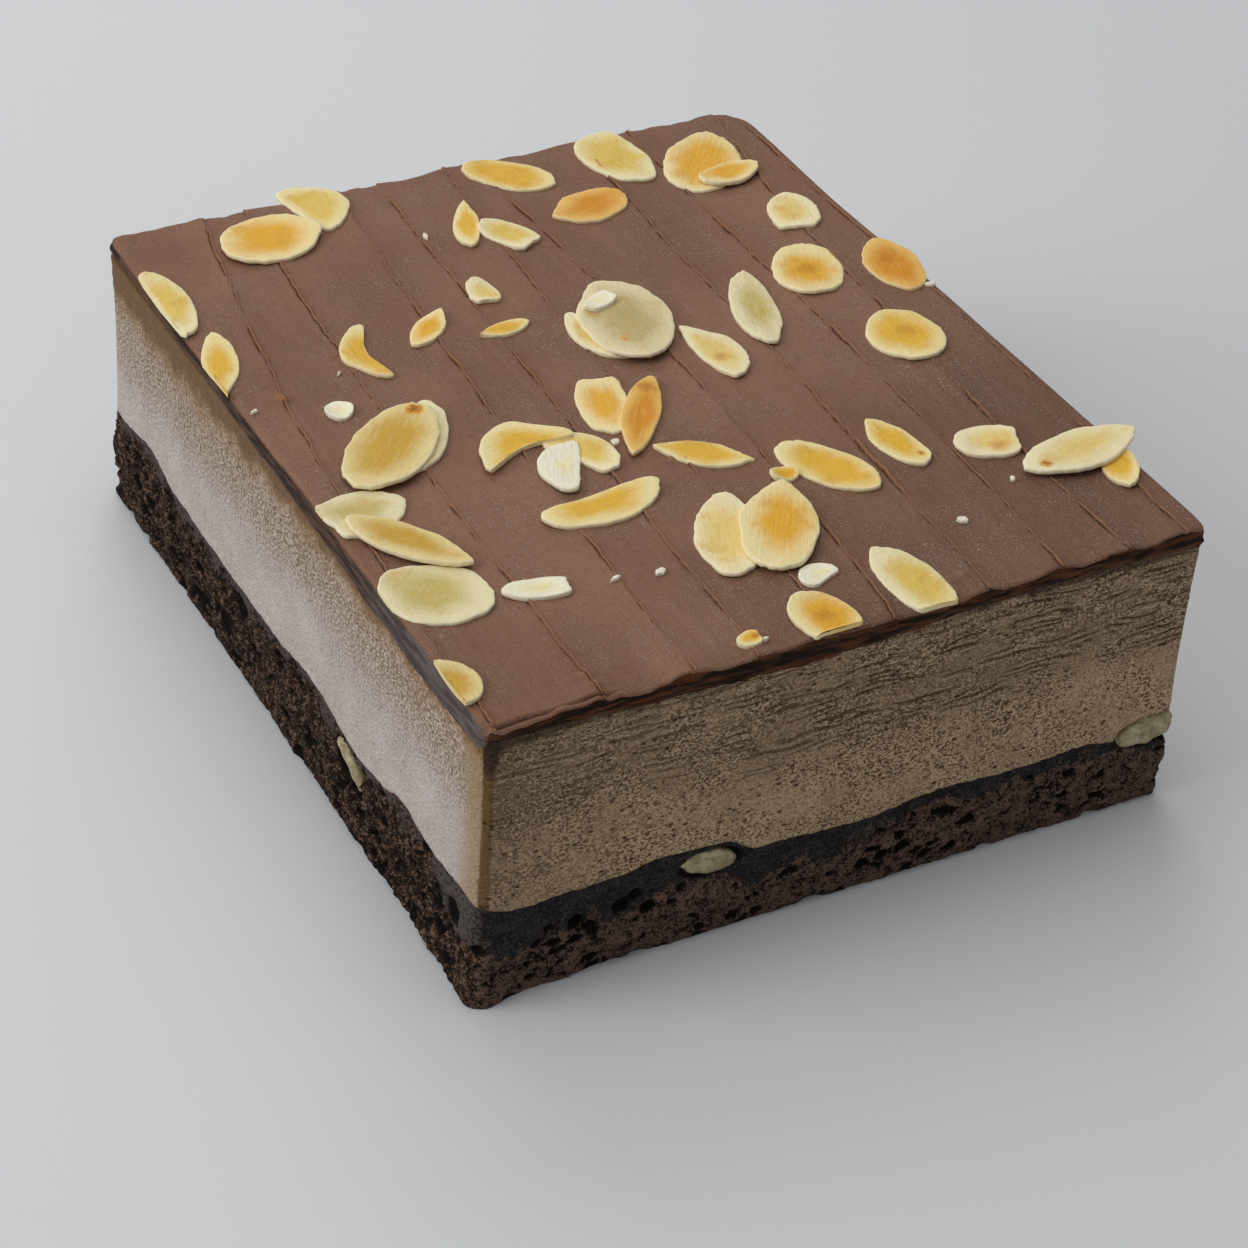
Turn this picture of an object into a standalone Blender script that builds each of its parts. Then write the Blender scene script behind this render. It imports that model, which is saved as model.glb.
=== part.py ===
"""A cut slab of layered brownie: a baked base with walnuts, a tall mousse layer, and a chocolate topping
spread with a knife and strewn with toasted sliced almonds.

Metres, +Z up. The origin is the centre of the flat underside. -Y is the front cut face, -X the left one.
"""

import math
import random

import bmesh
import bpy
from mathutils import Matrix, Vector, noise

MM = 0.001

# Driving dimensions
WIDTH = 130 * MM
DEPTH = 157 * MM
BASE_THICKNESS = 16.8 * MM
TOPPING_THICKNESS = 2.8 * MM  # from the mousse to the seams between strokes
GAP = 0.3 * MM

# Seen from above, by side of X and side of Y: the corner radii, and the height of the topping's seams there
CORNER_RADII = {(-1, -1): 3 * MM, (1, -1): 1.5 * MM, (1, 1): 7 * MM, (-1, 1): 3.5 * MM}
CORNER_HEIGHTS = {(-1, -1): 55.0 * MM, (1, -1): 56.1 * MM, (1, 1): 53.6 * MM, (-1, 1): 53.7 * MM}

# How far the right side is drawn in, in mm, against Y in mm: the slab is narrower at the back
RIGHT_SIDE = ((0, 0), (42, 1.6), (78.5, 0.9))

# The line between base and mousse on the two cut faces that show it: how far it departs from
# BASE_THICKNESS, against the distance along the face from its middle
FRONT_LINE = ((-65, 2.3), (-58, 0.8), (-45, 1.0), (-30, 2.4), (-22, 1.9), (-15, -1.4), (2, -2.2), (22, -0.4),
              (30, -1.2), (48, -0.7), (58, -2.6), (65, -2.8))
LEFT_LINE = ((-78.5, 2.6), (-62, 1.7), (-50, 3.4), (-43, 1.0), (-34, -0.5), (-14, 2.4), (0, 0.8), (30, 0.5),
             (47, 1.0), (59, 3.5), (74, 1.7), (78.5, 2.2))
LINE_REACH = 16 * MM  # how deep into the slab a dip of the line on a cut face carries

# Spread strokes of the topping run front to back. Each seam's X, in mm, at the three rows below.
SEAM_ROWS = (60, 0, -75)
SEAMS = ((-50, -58.5, -63), (-40, -43.5, -45), (-22, -26.5, -29.5), (-13, -15.5, -18.5), (0, -3, -4),
         (8, 10, 6), (29, 26.7, 23.5), (40.5, 40, 37.5), (57, 51.5, 49.5), (63.5, 63.5, 61))
STROKE_WIDTH = 13 * MM
STROKE_HOLLOW = 0.35 * MM  # depth of a stroke of that width
SEAM_MARGIN = 1.5 * MM
STROKE_WAVE = 0.2 * MM
STROKE_WAVE_LENGTH = 14 * MM

# The topping's rim on the front cut face, where the knife lifted: its height against X, in mm
FRONT_RIM = ((-65, 54.2), (-59, 54.4), (-51, 54.9), (-45.5, 55.7), (-44, 54.9), (-39, 53.9), (-33, 54.9),
             (-31.5, 55.6), (-28, 55.1), (-24, 54.3), (-20, 54.5), (-17, 55.4), (-14.5, 54.7), (-12, 54.6),
             (-10, 55.3), (-5, 54.9), (-1, 54.8), (5, 55.2), (8, 54.6), (18, 54.4), (22.5, 55.7), (27, 54.9),
             (31, 55.0), (36, 56.0), (42, 55.0), (48.5, 56.2), (54, 55.2), (60, 56.4), (65, 55.8))
FRONT_RIM_REACH = 3.2 * MM  # how far back from the front the rim is felt
FRONT_RIM_FADE = 1.3

# The outermost row and column of the topping lie lower, for its edge is blunt, at the front less so
RIM_REACH = 0.1 * MM
RIM_DROP = 0.35 * MM
FRONT_RIM_DROP = 0.15 * MM

# The layers' roughness: ripples of the base's top, its foot, bulge and crumb, the hollow and wave of the mousse
RIPPLE = 0.9 * MM
RIPPLE_X = 9 * MM
RIPPLE_Y = 11 * MM
FOOT_INSET = 0.6 * MM
BULGE = 0.5 * MM
CRUMB_DEPTH = 0.45 * MM
CRUMB_SIZE = 4 * MM
MOUSSE_HOLLOW = 0.35 * MM
MOUSSE_WAVE = 0.15 * MM
MOUSSE_WAVE_LENGTH = 17 * MM

# The base spreads at its foot: along the left side, and more so at the near corner
LEFT_SPREAD = 1.1 * MM
LEFT_SPREAD_FROM = 0.85  # share of the way from the middle to the left side
CORNER_SPREAD = 1.2 * MM
CORNER_SPREAD_REACH = 8 * MM

# Grids of the layers
COLUMNS = 18
ROWS = 20
BASE_COURSES = 4
MOUSSE_COURSES = 4
CELLS_PER_STROKE = 4
TOPPING_ROWS = 20
END_STATIONS = (0, 0.8 * MM, 2.2 * MM, 6 * MM)  # places along a side near its ends, where corners are round

# Almonds
ALMOND_THICKNESS = 1.05 * MM
ALMOND_SINK = 0.5 * MM
ALMOND_SIDES = 12
ALMOND_REST = 0.35  # a slice rests this share of its length and width away from its middle
ALMOND_ROUGH = 0.05
ALMOND_CUP = (0.2, 0.6)  # least and most that the ends turn up, in mm
CUT_PROUD = 0.1 * MM  # slices cut with the slab stand this far out of its front and left faces

# Shapes of sliced almonds, as (tip, tail, side_trim, end_trim, bend):
# tip and tail run from 0, round, to 1, pointed, and are blunt below 0; the trims are the shares broken off
# the long side on the right of the tip and off the tip itself; bend curves the slice to the left, as a
# share of its width
WHOLE = (0.35, 0.0, 0.0, 0.0, 0.0)
ROUND = (0.1, 0.0, 0.0, 0.0, 0.0)
EGG = (0.8, 0.0, 0.0, 0.0, 0.0)
DROP = (1.3, 0.0, 0.0, 0.0, 0.1)
COMMA = (1.4, 0.0, 0.0, 0.0, -0.5)
LENS = (0.9, 0.9, 0.0, 0.0, 0.0)
HALF = (0.3, 0.3, 0.7, 0.0, 0.0)
MOON = (-0.4, -0.3, 0.0, 0.0, -1.5)
HOOK = (0.2, 0.0, 0.0, 0.0, 1.5)
BROKEN = (0.2, 0.2, 0.15, 0.35, 0.0)
STUMP = (0.0, 0.1, 0.0, 0.2, 0.0)
SHARD = (0.9, 0.0, 0.6, 0.1, 0.0)

# (x, y, length, width, heading, shape, lift): mm and degrees, the heading being where the tip points
ALMONDS = (
    (-38.3, 65.9, 19, 15, 10, ROUND, 0.0),
    (-25.2, 74.0, 16.5, 10, -78, HALF, 0.0),
    (-62.5, 51.5, 22, 6.5, -93, SHARD, 0.0),
    (-62.6, 30.2, 22, 6.2, -109, DROP, 0.0),
    (-39.3, 24.9, 17.2, 6.8, -97, MOON, 0.0),
    (-25.0, 27.3, 12.3, 5.2, 44, EGG, 0.0),
    (-3.7, 57.2, 15.5, 4.8, 69, DROP, 0.0),
    (2.0, 51.7, 11.5, 7.5, -62, BROKEN, 0.0),
    (-11.1, 35.2, 7.8, 5.6, -95, BROKEN, 0.0),
    (-13.0, 22.3, 10.3, 4, 192, DROP, 0.0),
    (-49.6, 9.9, 4.8, 5.4, 0, ROUND, 0.0),
    (-41.7, -3.4, 22, 10.5, 54, WHOLE, 0.0),
    (-46.8, -5.2, 25.5, 13.5, 45, WHOLE, 1.0),
    (11.8, 71.1, 17.5, 10, -40, WHOLE, 0.0),
    (33.0, 68.9, 19.5, 12, 96, STUMP, 0.0),
    (47.6, 61.6, 22, 14, 52, ROUND, 0.0),
    (49.6, 55.0, 12.5, 7, 8, WHOLE, 1.0),
    (20.2, 54.8, 15.5, 10.5, 192, WHOLE, 0.0),
    (-0.4, 13.2, 16.5, 5.5, 103, HALF, 0.0),
    (7.4, 15.4, 25, 16, 83, ROUND, 0.7),
    (4.9, 21.6, 6.6, 4, 20, BROKEN, 1.8),
    (30.6, 11.1, 25, 8.4, 73, WHOLE, 0.0),
    (18.0, 1.6, 18, 8, 98, COMMA, 0.0),
    (-8.5, -7.0, 16.7, 8.7, 72, BROKEN, 0.0),
    (-4.3, -12.4, 24, 6.4, -124, WHOLE, 0.0),
    (-27.2, -11.3, 17.5, 9.5, 12, HOOK, 0.6),
    (-17.2, -18.0, 14, 7.5, -60, SHARD, 0.0),
    (-23.9, -20.8, 14.4, 7, 64, HALF, 0.5),
    (0.0, -26.7, 16.8, 6.8, -38, LENS, 0.0),
    (-21.8, -34.0, 22, 8, 185, HALF, 0.0),
    (53.9, 38.3, 12, 9.2, -108, BROKEN, 0.0),
    (46.1, 19.1, 17, 12.7, 66, ROUND, 0.0),
    (61.2, 14.2, 17.5, 10, 84, ROUND, 0.0),
    (50.2, -7.9, 15.8, 13.1, 88, ROUND, 0.0),
    (31.2, -36.7, 15.5, 6.8, 100, WHOLE, 0.0),
    (45.2, -42.4, 10.8, 8.8, -20, BROKEN, 0.0),
    (61.7, -58.2, 12, 6, -110, WHOLE, 0.0),
    (57.6, -52.1, 22.5, 10, 4, EGG, 0.9),
    (17.6, -37.9, 19.5, 10, -60, ROUND, 0.0),
    (9.2, -37.2, 5, 4, 0, ROUND, 0.0),
    (-7.6, -49.2, 22, 11, 68, ROUND, 0.0),
    (0.6, -50.7, 24.3, 12.6, 58, WHOLE, 0.9),
    (-0.1, -63.8, 7.3, 4.8, 26, SHARD, 0.0),
    (13.3, -71.8, 19.5, 9.5, 97, WHOLE, 0.0),
    (-4.8, -74.4, 12, 9.5, -80, BROKEN, 0.0),
    (-18.3, -74.8, 4, 3.5, 0, BROKEN, 0.0),
    (-57.8, -19.3, 14.5, 11.5, 192, BROKEN, 0.0),
    (-55.1, -30.7, 22.5, 8, -54, EGG, 0.9),
    (-56.9, -44.0, 18.3, 16.3, -32, ROUND, 0.0),
    (-42.3, -49.6, 10.6, 5.6, -12, BROKEN, 0.0),
    (-63.6, -66.8, 11, 6.5, -93, HALF, 0.0),
)

# Walnut pieces met by the knife: centre and half sizes in mm, then the tilt in the cut face, in degrees
WALNUTS = {
    "walnut_side": ((-65, -30, 13.0), (3.5, 5.5, 1.7), 28),
    "walnut_front": ((-24, -78.5, 15.2), (5.6, 4.0, 2.2), 12),
    "walnut_corner": ((60.4, -77.5, 15.3), (6.8, 3.6, 2.6), -8),
}

WALNUT_KNOBS = 0.16
WALNUT_KNOB_RATE = 1.7

# Open pores of the base on its two cut faces: centre and radius in mm
PORES = ((-48, -78.5, 11.8, 1.3), (-45.6, -78.5, 10.0, 1.1), (-40, -78.5, 12.2, 1.5), (-37.6, -78.5, 13.6, 1.2),
         (-35, -78.5, 10.2, 1.3), (-65.5, -72, 14.6, 1.4), (-65.8, -60, 8.0, 1.1), (-65.8, -12, 9.4, 1.2),
         (-65.8, 22, 11.0, 1.2), (-65.5, 55, 12.6, 1.3), (12, -78.5, 9.0, 1.0), (44, -78.5, 7.0, 1.0))


def clear_scene():
    for found in list(bpy.data.objects):
        bpy.data.objects.remove(found, do_unlink=True)


def collection(name):
    made = bpy.data.collections.new(name)
    bpy.context.scene.collection.children.link(made)
    return made


def food_material(name, colour, roughness):
    made = bpy.data.materials.new(name)
    made.use_nodes = True
    shader = made.node_tree.nodes["Principled BSDF"]
    shader.inputs["Base Color"].default_value = (*colour, 1)
    shader.inputs["Roughness"].default_value = roughness
    shader.inputs["Metallic"].default_value = 0
    return made


def add_object(name, bm, group, finish=None):
    bmesh.ops.recalc_face_normals(bm, faces=bm.faces)
    if bm.calc_volume(signed=True) < 0:
        bmesh.ops.reverse_faces(bm, faces=bm.faces)
    mesh = bpy.data.meshes.new(name)
    bm.to_mesh(mesh)
    bm.free()
    made = bpy.data.objects.new(name, mesh)
    group.objects.link(made)
    if finish:
        mesh.materials.append(finish)
    return made


def as_cutter(made):
    made.hide_render = True
    made.display_type = "WIRE"
    return made


def eased(points, place):
    """Height of a smooth line through (place, height) points, level beyond its ends."""
    if place <= points[0][0]:
        return points[0][1]
    for (start, low), (end, high) in zip(points, points[1:]):
        if place <= end:
            share = (place - start) / (end - start)
            return low + (high - low) * share * share * (3 - 2 * share)
    return points[-1][1]


def base_top(x, y):
    """Height of the baked base, which follows the drawn line on the front and left cut faces."""
    from_front = math.exp(-(y + DEPTH / 2) / LINE_REACH)
    from_left = math.exp(-(x + WIDTH / 2) / LINE_REACH)
    ripple = RIPPLE * math.sin(x / RIPPLE_X) * math.sin(y / RIPPLE_Y + 1)
    front = eased(FRONT_LINE, x / MM) * MM * from_front
    left = eased(LEFT_LINE, y / MM) * MM * from_left * (1 - from_front)
    inner = ripple * (1 - from_front) * (1 - from_left)
    return BASE_THICKNESS + front + left + inner


def seam(place, y):
    """X of one seam at depth y: the parabola through its three given points."""
    total = 0
    for i, row in enumerate(SEAM_ROWS):
        weight = 1
        for j, other in enumerate(SEAM_ROWS):
            if i != j:
                weight *= (y / MM - other) / (row - other)
        total += SEAMS[place][i] * weight
    limit = WIDTH / 2 - SEAM_MARGIN
    return max(-limit, min(limit, total * MM))


def stroke_edges(y):
    return [-WIDTH / 2] + [seam(place, y) for place in range(len(SEAMS))] + [WIDTH / 2]


def seam_top(x, y):
    """Height of the topping's seams, which falls away from corner to corner."""
    total = 0
    for (side_x, side_y), height in CORNER_HEIGHTS.items():
        total += height * (1 + side_x * 2 * x / WIDTH) * (1 + side_y * 2 * y / DEPTH) / 4
    return total


def mousse_top(x, y):
    return seam_top(x, y) - TOPPING_THICKNESS


def stroke_height(x, y, share, width):
    """Height of a stroke of that width at (x, y), a share of the way across it."""
    hollow = STROKE_HOLLOW * min(1.2, width / STROKE_WIDTH)
    wave = STROKE_WAVE * math.sin(y / STROKE_WAVE_LENGTH + width / MM)
    height = seam_top(x, y) - hollow * 4 * share * (1 - share) - wave
    front_weight = math.exp(-((y + DEPTH / 2) / FRONT_RIM_REACH) ** FRONT_RIM_FADE)
    return height + (eased(FRONT_RIM, x / MM) * MM - height) * front_weight


def chocolate_top(x, y):
    x = max(-WIDTH / 2, min(WIDTH / 2, x))
    y = max(-DEPTH / 2, min(DEPTH / 2, y))
    edges = stroke_edges(y)
    for low, high in zip(edges, edges[1:]):
        if x <= high:
            return stroke_height(x, y, (x - low) / (high - low), high - low)
    return seam_top(x, y)


def rounded(x, y, inset=0.0):
    """Moves a point of the rectangular plan so that the plan's corners are arcs, and draws it in by inset."""
    radius = CORNER_RADII[(1 if x > 0 else -1, 1 if y > 0 else -1)]
    half_x = WIDTH / 2
    half_y = DEPTH / 2
    over_x = abs(x) - (half_x - radius)
    over_y = abs(y) - (half_y - radius)
    if over_x > 0 and over_y > 0:
        scale = max(over_x, over_y) / math.hypot(over_x, over_y)
        x = math.copysign(half_x - radius + over_x * scale, x)
        y = math.copysign(half_y - radius + over_y * scale, y)
    if x > 0:
        x *= 1 - eased(RIGHT_SIDE, y / MM) * MM / half_x
    return x * (1 - inset / half_x), y * (1 - inset / half_y)


def stations(length, cells):
    """Places along a side, from end to end, closer together at the ends, where the corners are round."""
    inner = cells - 2 * (len(END_STATIONS) - 1)
    step = (length - 2 * END_STATIONS[-1]) / inner
    middle = [END_STATIONS[-1] + step * i for i in range(1, inner)]
    whole = [*END_STATIONS, *middle, *(length - place for place in reversed(END_STATIONS))]
    return [place - length / 2 for place in whole]


def gridded_cube(columns, rows, courses):
    """A unit cube whose faces are grids, centred on the origin."""
    bm = bmesh.new()
    bmesh.ops.create_cube(bm, size=1)
    for axis, cells in enumerate((columns, rows, courses)):
        along = [edge for edge in bm.edges if abs((edge.verts[0].co - edge.verts[1].co)[axis]) > 0.5]
        bmesh.ops.subdivide_edges(bm, edges=along, cuts=cells - 1, use_grid_fill=True)
    return bm


def flatten_underside(bm):
    """Makes one polygon of the level faces that look down."""
    bm.normal_update()
    level = [face for face in bm.faces if face.normal.z < -0.9999]
    bmesh.ops.dissolve_faces(bm, faces=level, use_verts=True)


def lay_layer(courses, bottom, top, outline):
    """A slab layer: bottom and top give heights at (x, y), outline the inset at (x, y, share of height)."""
    bm = gridded_cube(COLUMNS, ROWS, courses)
    across = stations(WIDTH, COLUMNS)
    deep = stations(DEPTH, ROWS)
    for vert in bm.verts:
        x = across[round((vert.co.x + 0.5) * COLUMNS)]
        y = deep[round((vert.co.y + 0.5) * ROWS)]
        share = vert.co.z + 0.5
        low = bottom(x, y)
        vert.co.z = low + (top(x, y) - low) * share
        vert.co.x, vert.co.y = rounded(x, y, outline(x, y, share))
    return bm


def base_spread(x, y, share):
    """How far the base's foot spreads outwards."""
    leftward = max(0, -2 * x / WIDTH - LEFT_SPREAD_FROM) / (1 - LEFT_SPREAD_FROM)
    corner_away = math.hypot(x + WIDTH / 2, y + DEPTH / 2)
    spread = LEFT_SPREAD * leftward + CORNER_SPREAD * math.exp(-corner_away / CORNER_SPREAD_REACH)
    return spread * (1 - share) ** 2


def base_outline(x, y, share):
    """The base bulges a little below the mousse, and its cut faces are rough with crumb."""
    spread = base_spread(x, y, share)
    if share in (0, 1):
        return FOOT_INSET * (1 - share) - spread
    crumb = noise.noise(Vector((x, y, share * BASE_THICKNESS)) / CRUMB_SIZE)
    return -BULGE * math.sin(math.pi * share) - CRUMB_DEPTH * crumb - spread


def mousse_outline(x, y, share):
    """The cut mousse is nearly flat, a little drawn in half way up."""
    wave = MOUSSE_WAVE * math.sin((x + y) / MOUSSE_WAVE_LENGTH) * share * (1 - share)
    return MOUSSE_HOLLOW * math.sin(math.pi * share) + wave


def make_base(group, finish):
    bm = lay_layer(BASE_COURSES, lambda x, y: 0, base_top, base_outline)
    flatten_underside(bm)
    bmesh.ops.triangulate(bm, faces=[f for f in bm.faces if len(f.verts) == 4], quad_method="SHORT_EDGE")
    return add_object("brownie_base", bm, group, finish)


def make_mousse(group, finish):
    bm = lay_layer(MOUSSE_COURSES, lambda x, y: base_top(x, y) + GAP, mousse_top, mousse_outline)
    bmesh.ops.triangulate(bm, faces=bm.faces, quad_method="SHORT_EDGE")
    return add_object("mousse_layer", bm, group, finish)


def make_topping(group, finish):
    """The chocolate: a grid whose columns follow the seams, thickened down to the mousse."""
    strokes = len(SEAMS) + 1
    columns = strokes * CELLS_PER_STROKE
    bm = bmesh.new()
    bmesh.ops.create_grid(bm, x_segments=columns, y_segments=TOPPING_ROWS, size=0.5)
    deep = stations(DEPTH, TOPPING_ROWS)
    for vert in bm.verts:
        column = round((vert.co.x + 0.5) * columns)
        y = deep[round((vert.co.y + 0.5) * TOPPING_ROWS)]
        edges = stroke_edges(y)
        stroke = min(column // CELLS_PER_STROKE, strokes - 1)
        share = column / CELLS_PER_STROKE - stroke
        low, high = edges[stroke], edges[stroke + 1]
        x = low + (high - low) * share
        vert.co.z = stroke_height(x, y, share, high - low)
        if y < RIM_REACH - DEPTH / 2:
            vert.co.z -= FRONT_RIM_DROP
        elif column in (0, columns) or y > DEPTH / 2 - RIM_REACH:
            vert.co.z -= RIM_DROP
        vert.co.x, vert.co.y = rounded(x, y)
    lower = bmesh.ops.extrude_face_region(bm, geom=list(bm.faces))
    for item in lower["geom"]:
        if isinstance(item, bmesh.types.BMVert):
            item.co.z = mousse_top(item.co.x, item.co.y) + GAP
    bmesh.ops.triangulate(bm, faces=bm.faces, quad_method="SHORT_EDGE")
    return add_object("chocolate_topping", bm, group, finish)


def almond_outline(length, width, shape, draw):
    """Corners of a sliced almond seen from above, the tip towards +X, as long and as wide as given."""
    tip, tail, side_trim, end_trim, bend = shape
    corners = []
    for i in range(ALMOND_SIDES):
        turn = 2 * math.pi * (i + 0.5) / ALMOND_SIDES
        along = math.cos(turn)
        pointed = tip if along > 0 else tail
        across = math.copysign(abs(math.sin(turn)) ** (1 + pointed), math.sin(turn))
        across = max(across, side_trim - 1) + bend * (1 - along * along)
        rough = 1 + draw.uniform(-ALMOND_ROUGH, ALMOND_ROUGH)
        corners.append(Vector((min(along, 1 - end_trim), across)) * rough)
    lows = [min(corner[i] for corner in corners) for i in range(2)]
    spans = [max(corner[i] for corner in corners) - lows[i] for i in range(2)]
    sizes = (length, width)
    return [[((corner[i] - lows[i]) / spans[i] - 0.5) * sizes[i] for i in range(2)] for corner in corners]


def make_almond(place, group, finish):
    """One slice, a thin plate a little cupped, laid on the chocolate along the slope that it rests on, and cut
    off where the slab's front and left faces were cut."""
    x, y, length, width, heading, shape, lift = ALMONDS[place]
    x, y, length, width, lift = x * MM, y * MM, length * MM, width * MM, lift * MM
    draw = random.Random(100 + place)
    bm = bmesh.new()
    bmesh.ops.create_circle(bm, cap_ends=True, cap_tris=True, segments=ALMOND_SIDES, radius=1)
    corners = almond_outline(length, width, shape, draw)
    rim = [vert for vert in bm.verts if vert.co.length > 0.5]
    rim.sort(key=lambda vert: math.atan2(vert.co.y, vert.co.x) % (2 * math.pi))
    middle = Vector((sum(c[0] for c in corners), sum(c[1] for c in corners), 0)) / len(corners)
    for vert in bm.verts:
        vert.co = middle
    cup = draw.uniform(*ALMOND_CUP) * MM
    for vert, corner in zip(rim, corners):
        vert.co = Vector((*corner, cup * (corner[0] / length * 2) ** 2))
    upper = bmesh.ops.extrude_face_region(bm, geom=list(bm.faces))
    for item in upper["geom"]:
        if isinstance(item, bmesh.types.BMVert):
            item.co.z += ALMOND_THICKNESS
    heading = Matrix.Rotation(math.radians(heading), 4, "Z")
    ahead = heading @ Vector((length * ALMOND_REST, 0, 0))
    beside = heading @ Vector((0, width * ALMOND_REST, 0))
    before, behind, left, right = (
        chocolate_top(x + step.x, y + step.y) for step in (ahead, -ahead, beside, -beside))
    pitch = Matrix.Rotation(-math.atan2(before - behind, 2 * ahead.length), 4, "Y")
    roll = Matrix.Rotation(math.atan2(left - right, 2 * beside.length), 4, "X")
    height = (before + behind + chocolate_top(x, y)) / 3 - ALMOND_SINK + lift
    bm.transform(Matrix.Translation((x, y, height)) @ heading @ pitch @ roll)
    for vert in bm.verts:
        vert.co.x = max(vert.co.x, -WIDTH / 2 - CUT_PROUD)
        vert.co.y = max(vert.co.y, -DEPTH / 2 - CUT_PROUD)
    return add_object(f"almond_{place:02d}", bm, group, finish)


def keep_outer_shell(mesh):
    """Fills hollows that the joining sealed and drops loose scraps: only the largest shell of faces stays."""
    bm = bmesh.new()
    bm.from_mesh(mesh)
    unseen = set(bm.faces)
    shells = []
    while unseen:
        shell = [unseen.pop()]
        for face in shell:
            for edge in face.edges:
                for other in edge.link_faces:
                    if other in unseen:
                        unseen.remove(other)
                        shell.append(other)
        shells.append(shell)
    shells.sort(key=len)
    for shell in shells[:-1]:
        bmesh.ops.delete(bm, geom=shell, context="FACES")
    bm.to_mesh(mesh)
    bm.free()


def fuse_almonds(topping, finish):
    """Joins the slices to the chocolate they lie on, as one solid."""
    scattered = collection("almonds")
    for place in range(len(ALMONDS)):
        make_almond(place, scattered, finish)
    union = topping.modifiers.new("almonds", "BOOLEAN")
    union.operation = "UNION"
    union.operand_type = "COLLECTION"
    union.collection = scattered
    union.solver = "EXACT"
    graph = bpy.context.evaluated_depsgraph_get()
    joined = bpy.data.meshes.new_from_object(topping.evaluated_get(graph))
    keep_outer_shell(joined)
    topping.modifiers.remove(union)
    topping.data = joined
    for slice_ in list(scattered.objects):
        bpy.data.objects.remove(slice_, do_unlink=True)
    bpy.data.collections.remove(scattered)


def walnut_lump(name, swell):
    """A knobbly nut piece about its own centre, swollen by a margin when it is the pocket's cutter."""
    centre, half_sizes, tilt = WALNUTS[name]
    bm = bmesh.new()
    bmesh.ops.create_icosphere(bm, subdivisions=2, radius=1)
    for vert in bm.verts:
        knobs = 1 + WALNUT_KNOBS * noise.noise(vert.co * WALNUT_KNOB_RATE + Vector(centre))
        outward = vert.co.normalized()
        vert.co = Vector([vert.co[i] * half_sizes[i] * knobs * MM for i in range(3)]) + outward * swell
    in_left_face = abs(centre[0]) > abs(centre[1])
    bm.transform(Matrix.Rotation(math.radians(tilt), 4, "X" if in_left_face else "Y"))
    bm.transform(Matrix.Translation(Vector(centre) * MM))
    return bm


def make_walnut(name, group, finish, cutters, layers):
    """A nut piece cut flush with the slab's faces, and its pocket in the base and the mousse."""
    bm = walnut_lump(name, 0)
    for vert in bm.verts:
        vert.co.x = max(-WIDTH / 2, min(WIDTH / 2, vert.co.x))
        vert.co.y = max(-DEPTH / 2, vert.co.y)
    nut = add_object(name, bm, group, finish)
    pocket = as_cutter(add_object(name + "_pocket", walnut_lump(name, GAP), cutters))
    for layer in layers:
        cut = layer.modifiers.new(name, "BOOLEAN")
        cut.operation = "DIFFERENCE"
        cut.object = pocket
        cut.solver = "EXACT"
    return nut


def open_pores(base, cutters):
    for place, (x, y, z, radius) in enumerate(PORES):
        bm = bmesh.new()
        bmesh.ops.create_icosphere(bm, subdivisions=1, radius=radius * MM)
        bm.transform(Matrix.Translation(Vector((x, y, z)) * MM) @ Matrix.Rotation(place, 4, (1, 1, 1)))
        pore = as_cutter(add_object(f"pore_{place:02d}", bm, cutters))
        cut = base.modifiers.new(pore.name, "BOOLEAN")
        cut.operation = "DIFFERENCE"
        cut.object = pore
        cut.solver = "EXACT"


def main():
    clear_scene()
    slab = collection("brownie")
    cutters = collection("cutters")
    crumb = food_material("dark baked crumb", (0.022, 0.014, 0.011), 0.85)
    mousse = food_material("coffee mousse", (0.27, 0.21, 0.155), 0.7)
    chocolate = food_material("milk chocolate", (0.13, 0.068, 0.046), 0.55)
    almond = food_material("toasted almond", (0.75, 0.5, 0.19), 0.55)
    walnut = food_material("walnut", (0.5, 0.42, 0.22), 0.6)
    base = make_base(slab, crumb)
    layer = make_mousse(slab, mousse)
    topping = make_topping(slab, chocolate)
    fuse_almonds(topping, almond)
    for name in WALNUTS:
        make_walnut(name, slab, walnut, cutters, (base, layer))
    open_pores(base, cutters)


main()
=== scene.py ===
"""The looks of a cut slab of layered brownie: baked base, coffee mousse, spread chocolate, sliced almonds.

Sizes are in mm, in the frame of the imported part: X to the right, Y to the back, Z up from the underside.
"""

import math
import random

import bpy
import numpy as np
from mathutils import Matrix, Vector, noise


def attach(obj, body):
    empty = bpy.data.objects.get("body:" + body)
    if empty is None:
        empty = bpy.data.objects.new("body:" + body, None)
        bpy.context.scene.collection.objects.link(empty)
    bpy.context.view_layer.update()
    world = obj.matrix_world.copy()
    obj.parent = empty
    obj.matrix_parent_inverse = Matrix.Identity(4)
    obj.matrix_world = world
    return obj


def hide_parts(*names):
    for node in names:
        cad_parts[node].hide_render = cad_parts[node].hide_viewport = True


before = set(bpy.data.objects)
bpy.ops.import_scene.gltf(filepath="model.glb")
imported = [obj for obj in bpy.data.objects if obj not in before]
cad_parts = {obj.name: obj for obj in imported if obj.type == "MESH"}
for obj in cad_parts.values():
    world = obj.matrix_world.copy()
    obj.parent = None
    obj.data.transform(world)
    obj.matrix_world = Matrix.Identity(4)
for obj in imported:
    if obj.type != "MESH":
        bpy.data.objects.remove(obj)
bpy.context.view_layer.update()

# ----------------------------------------------------------
# The baked base: dense dark brownie, baked as a sheet and cut through with a knife. Its sides are crumbly
# and full of pores; the top few millimetres are pressed smooth and almost black. Its top is wavy.

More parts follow.
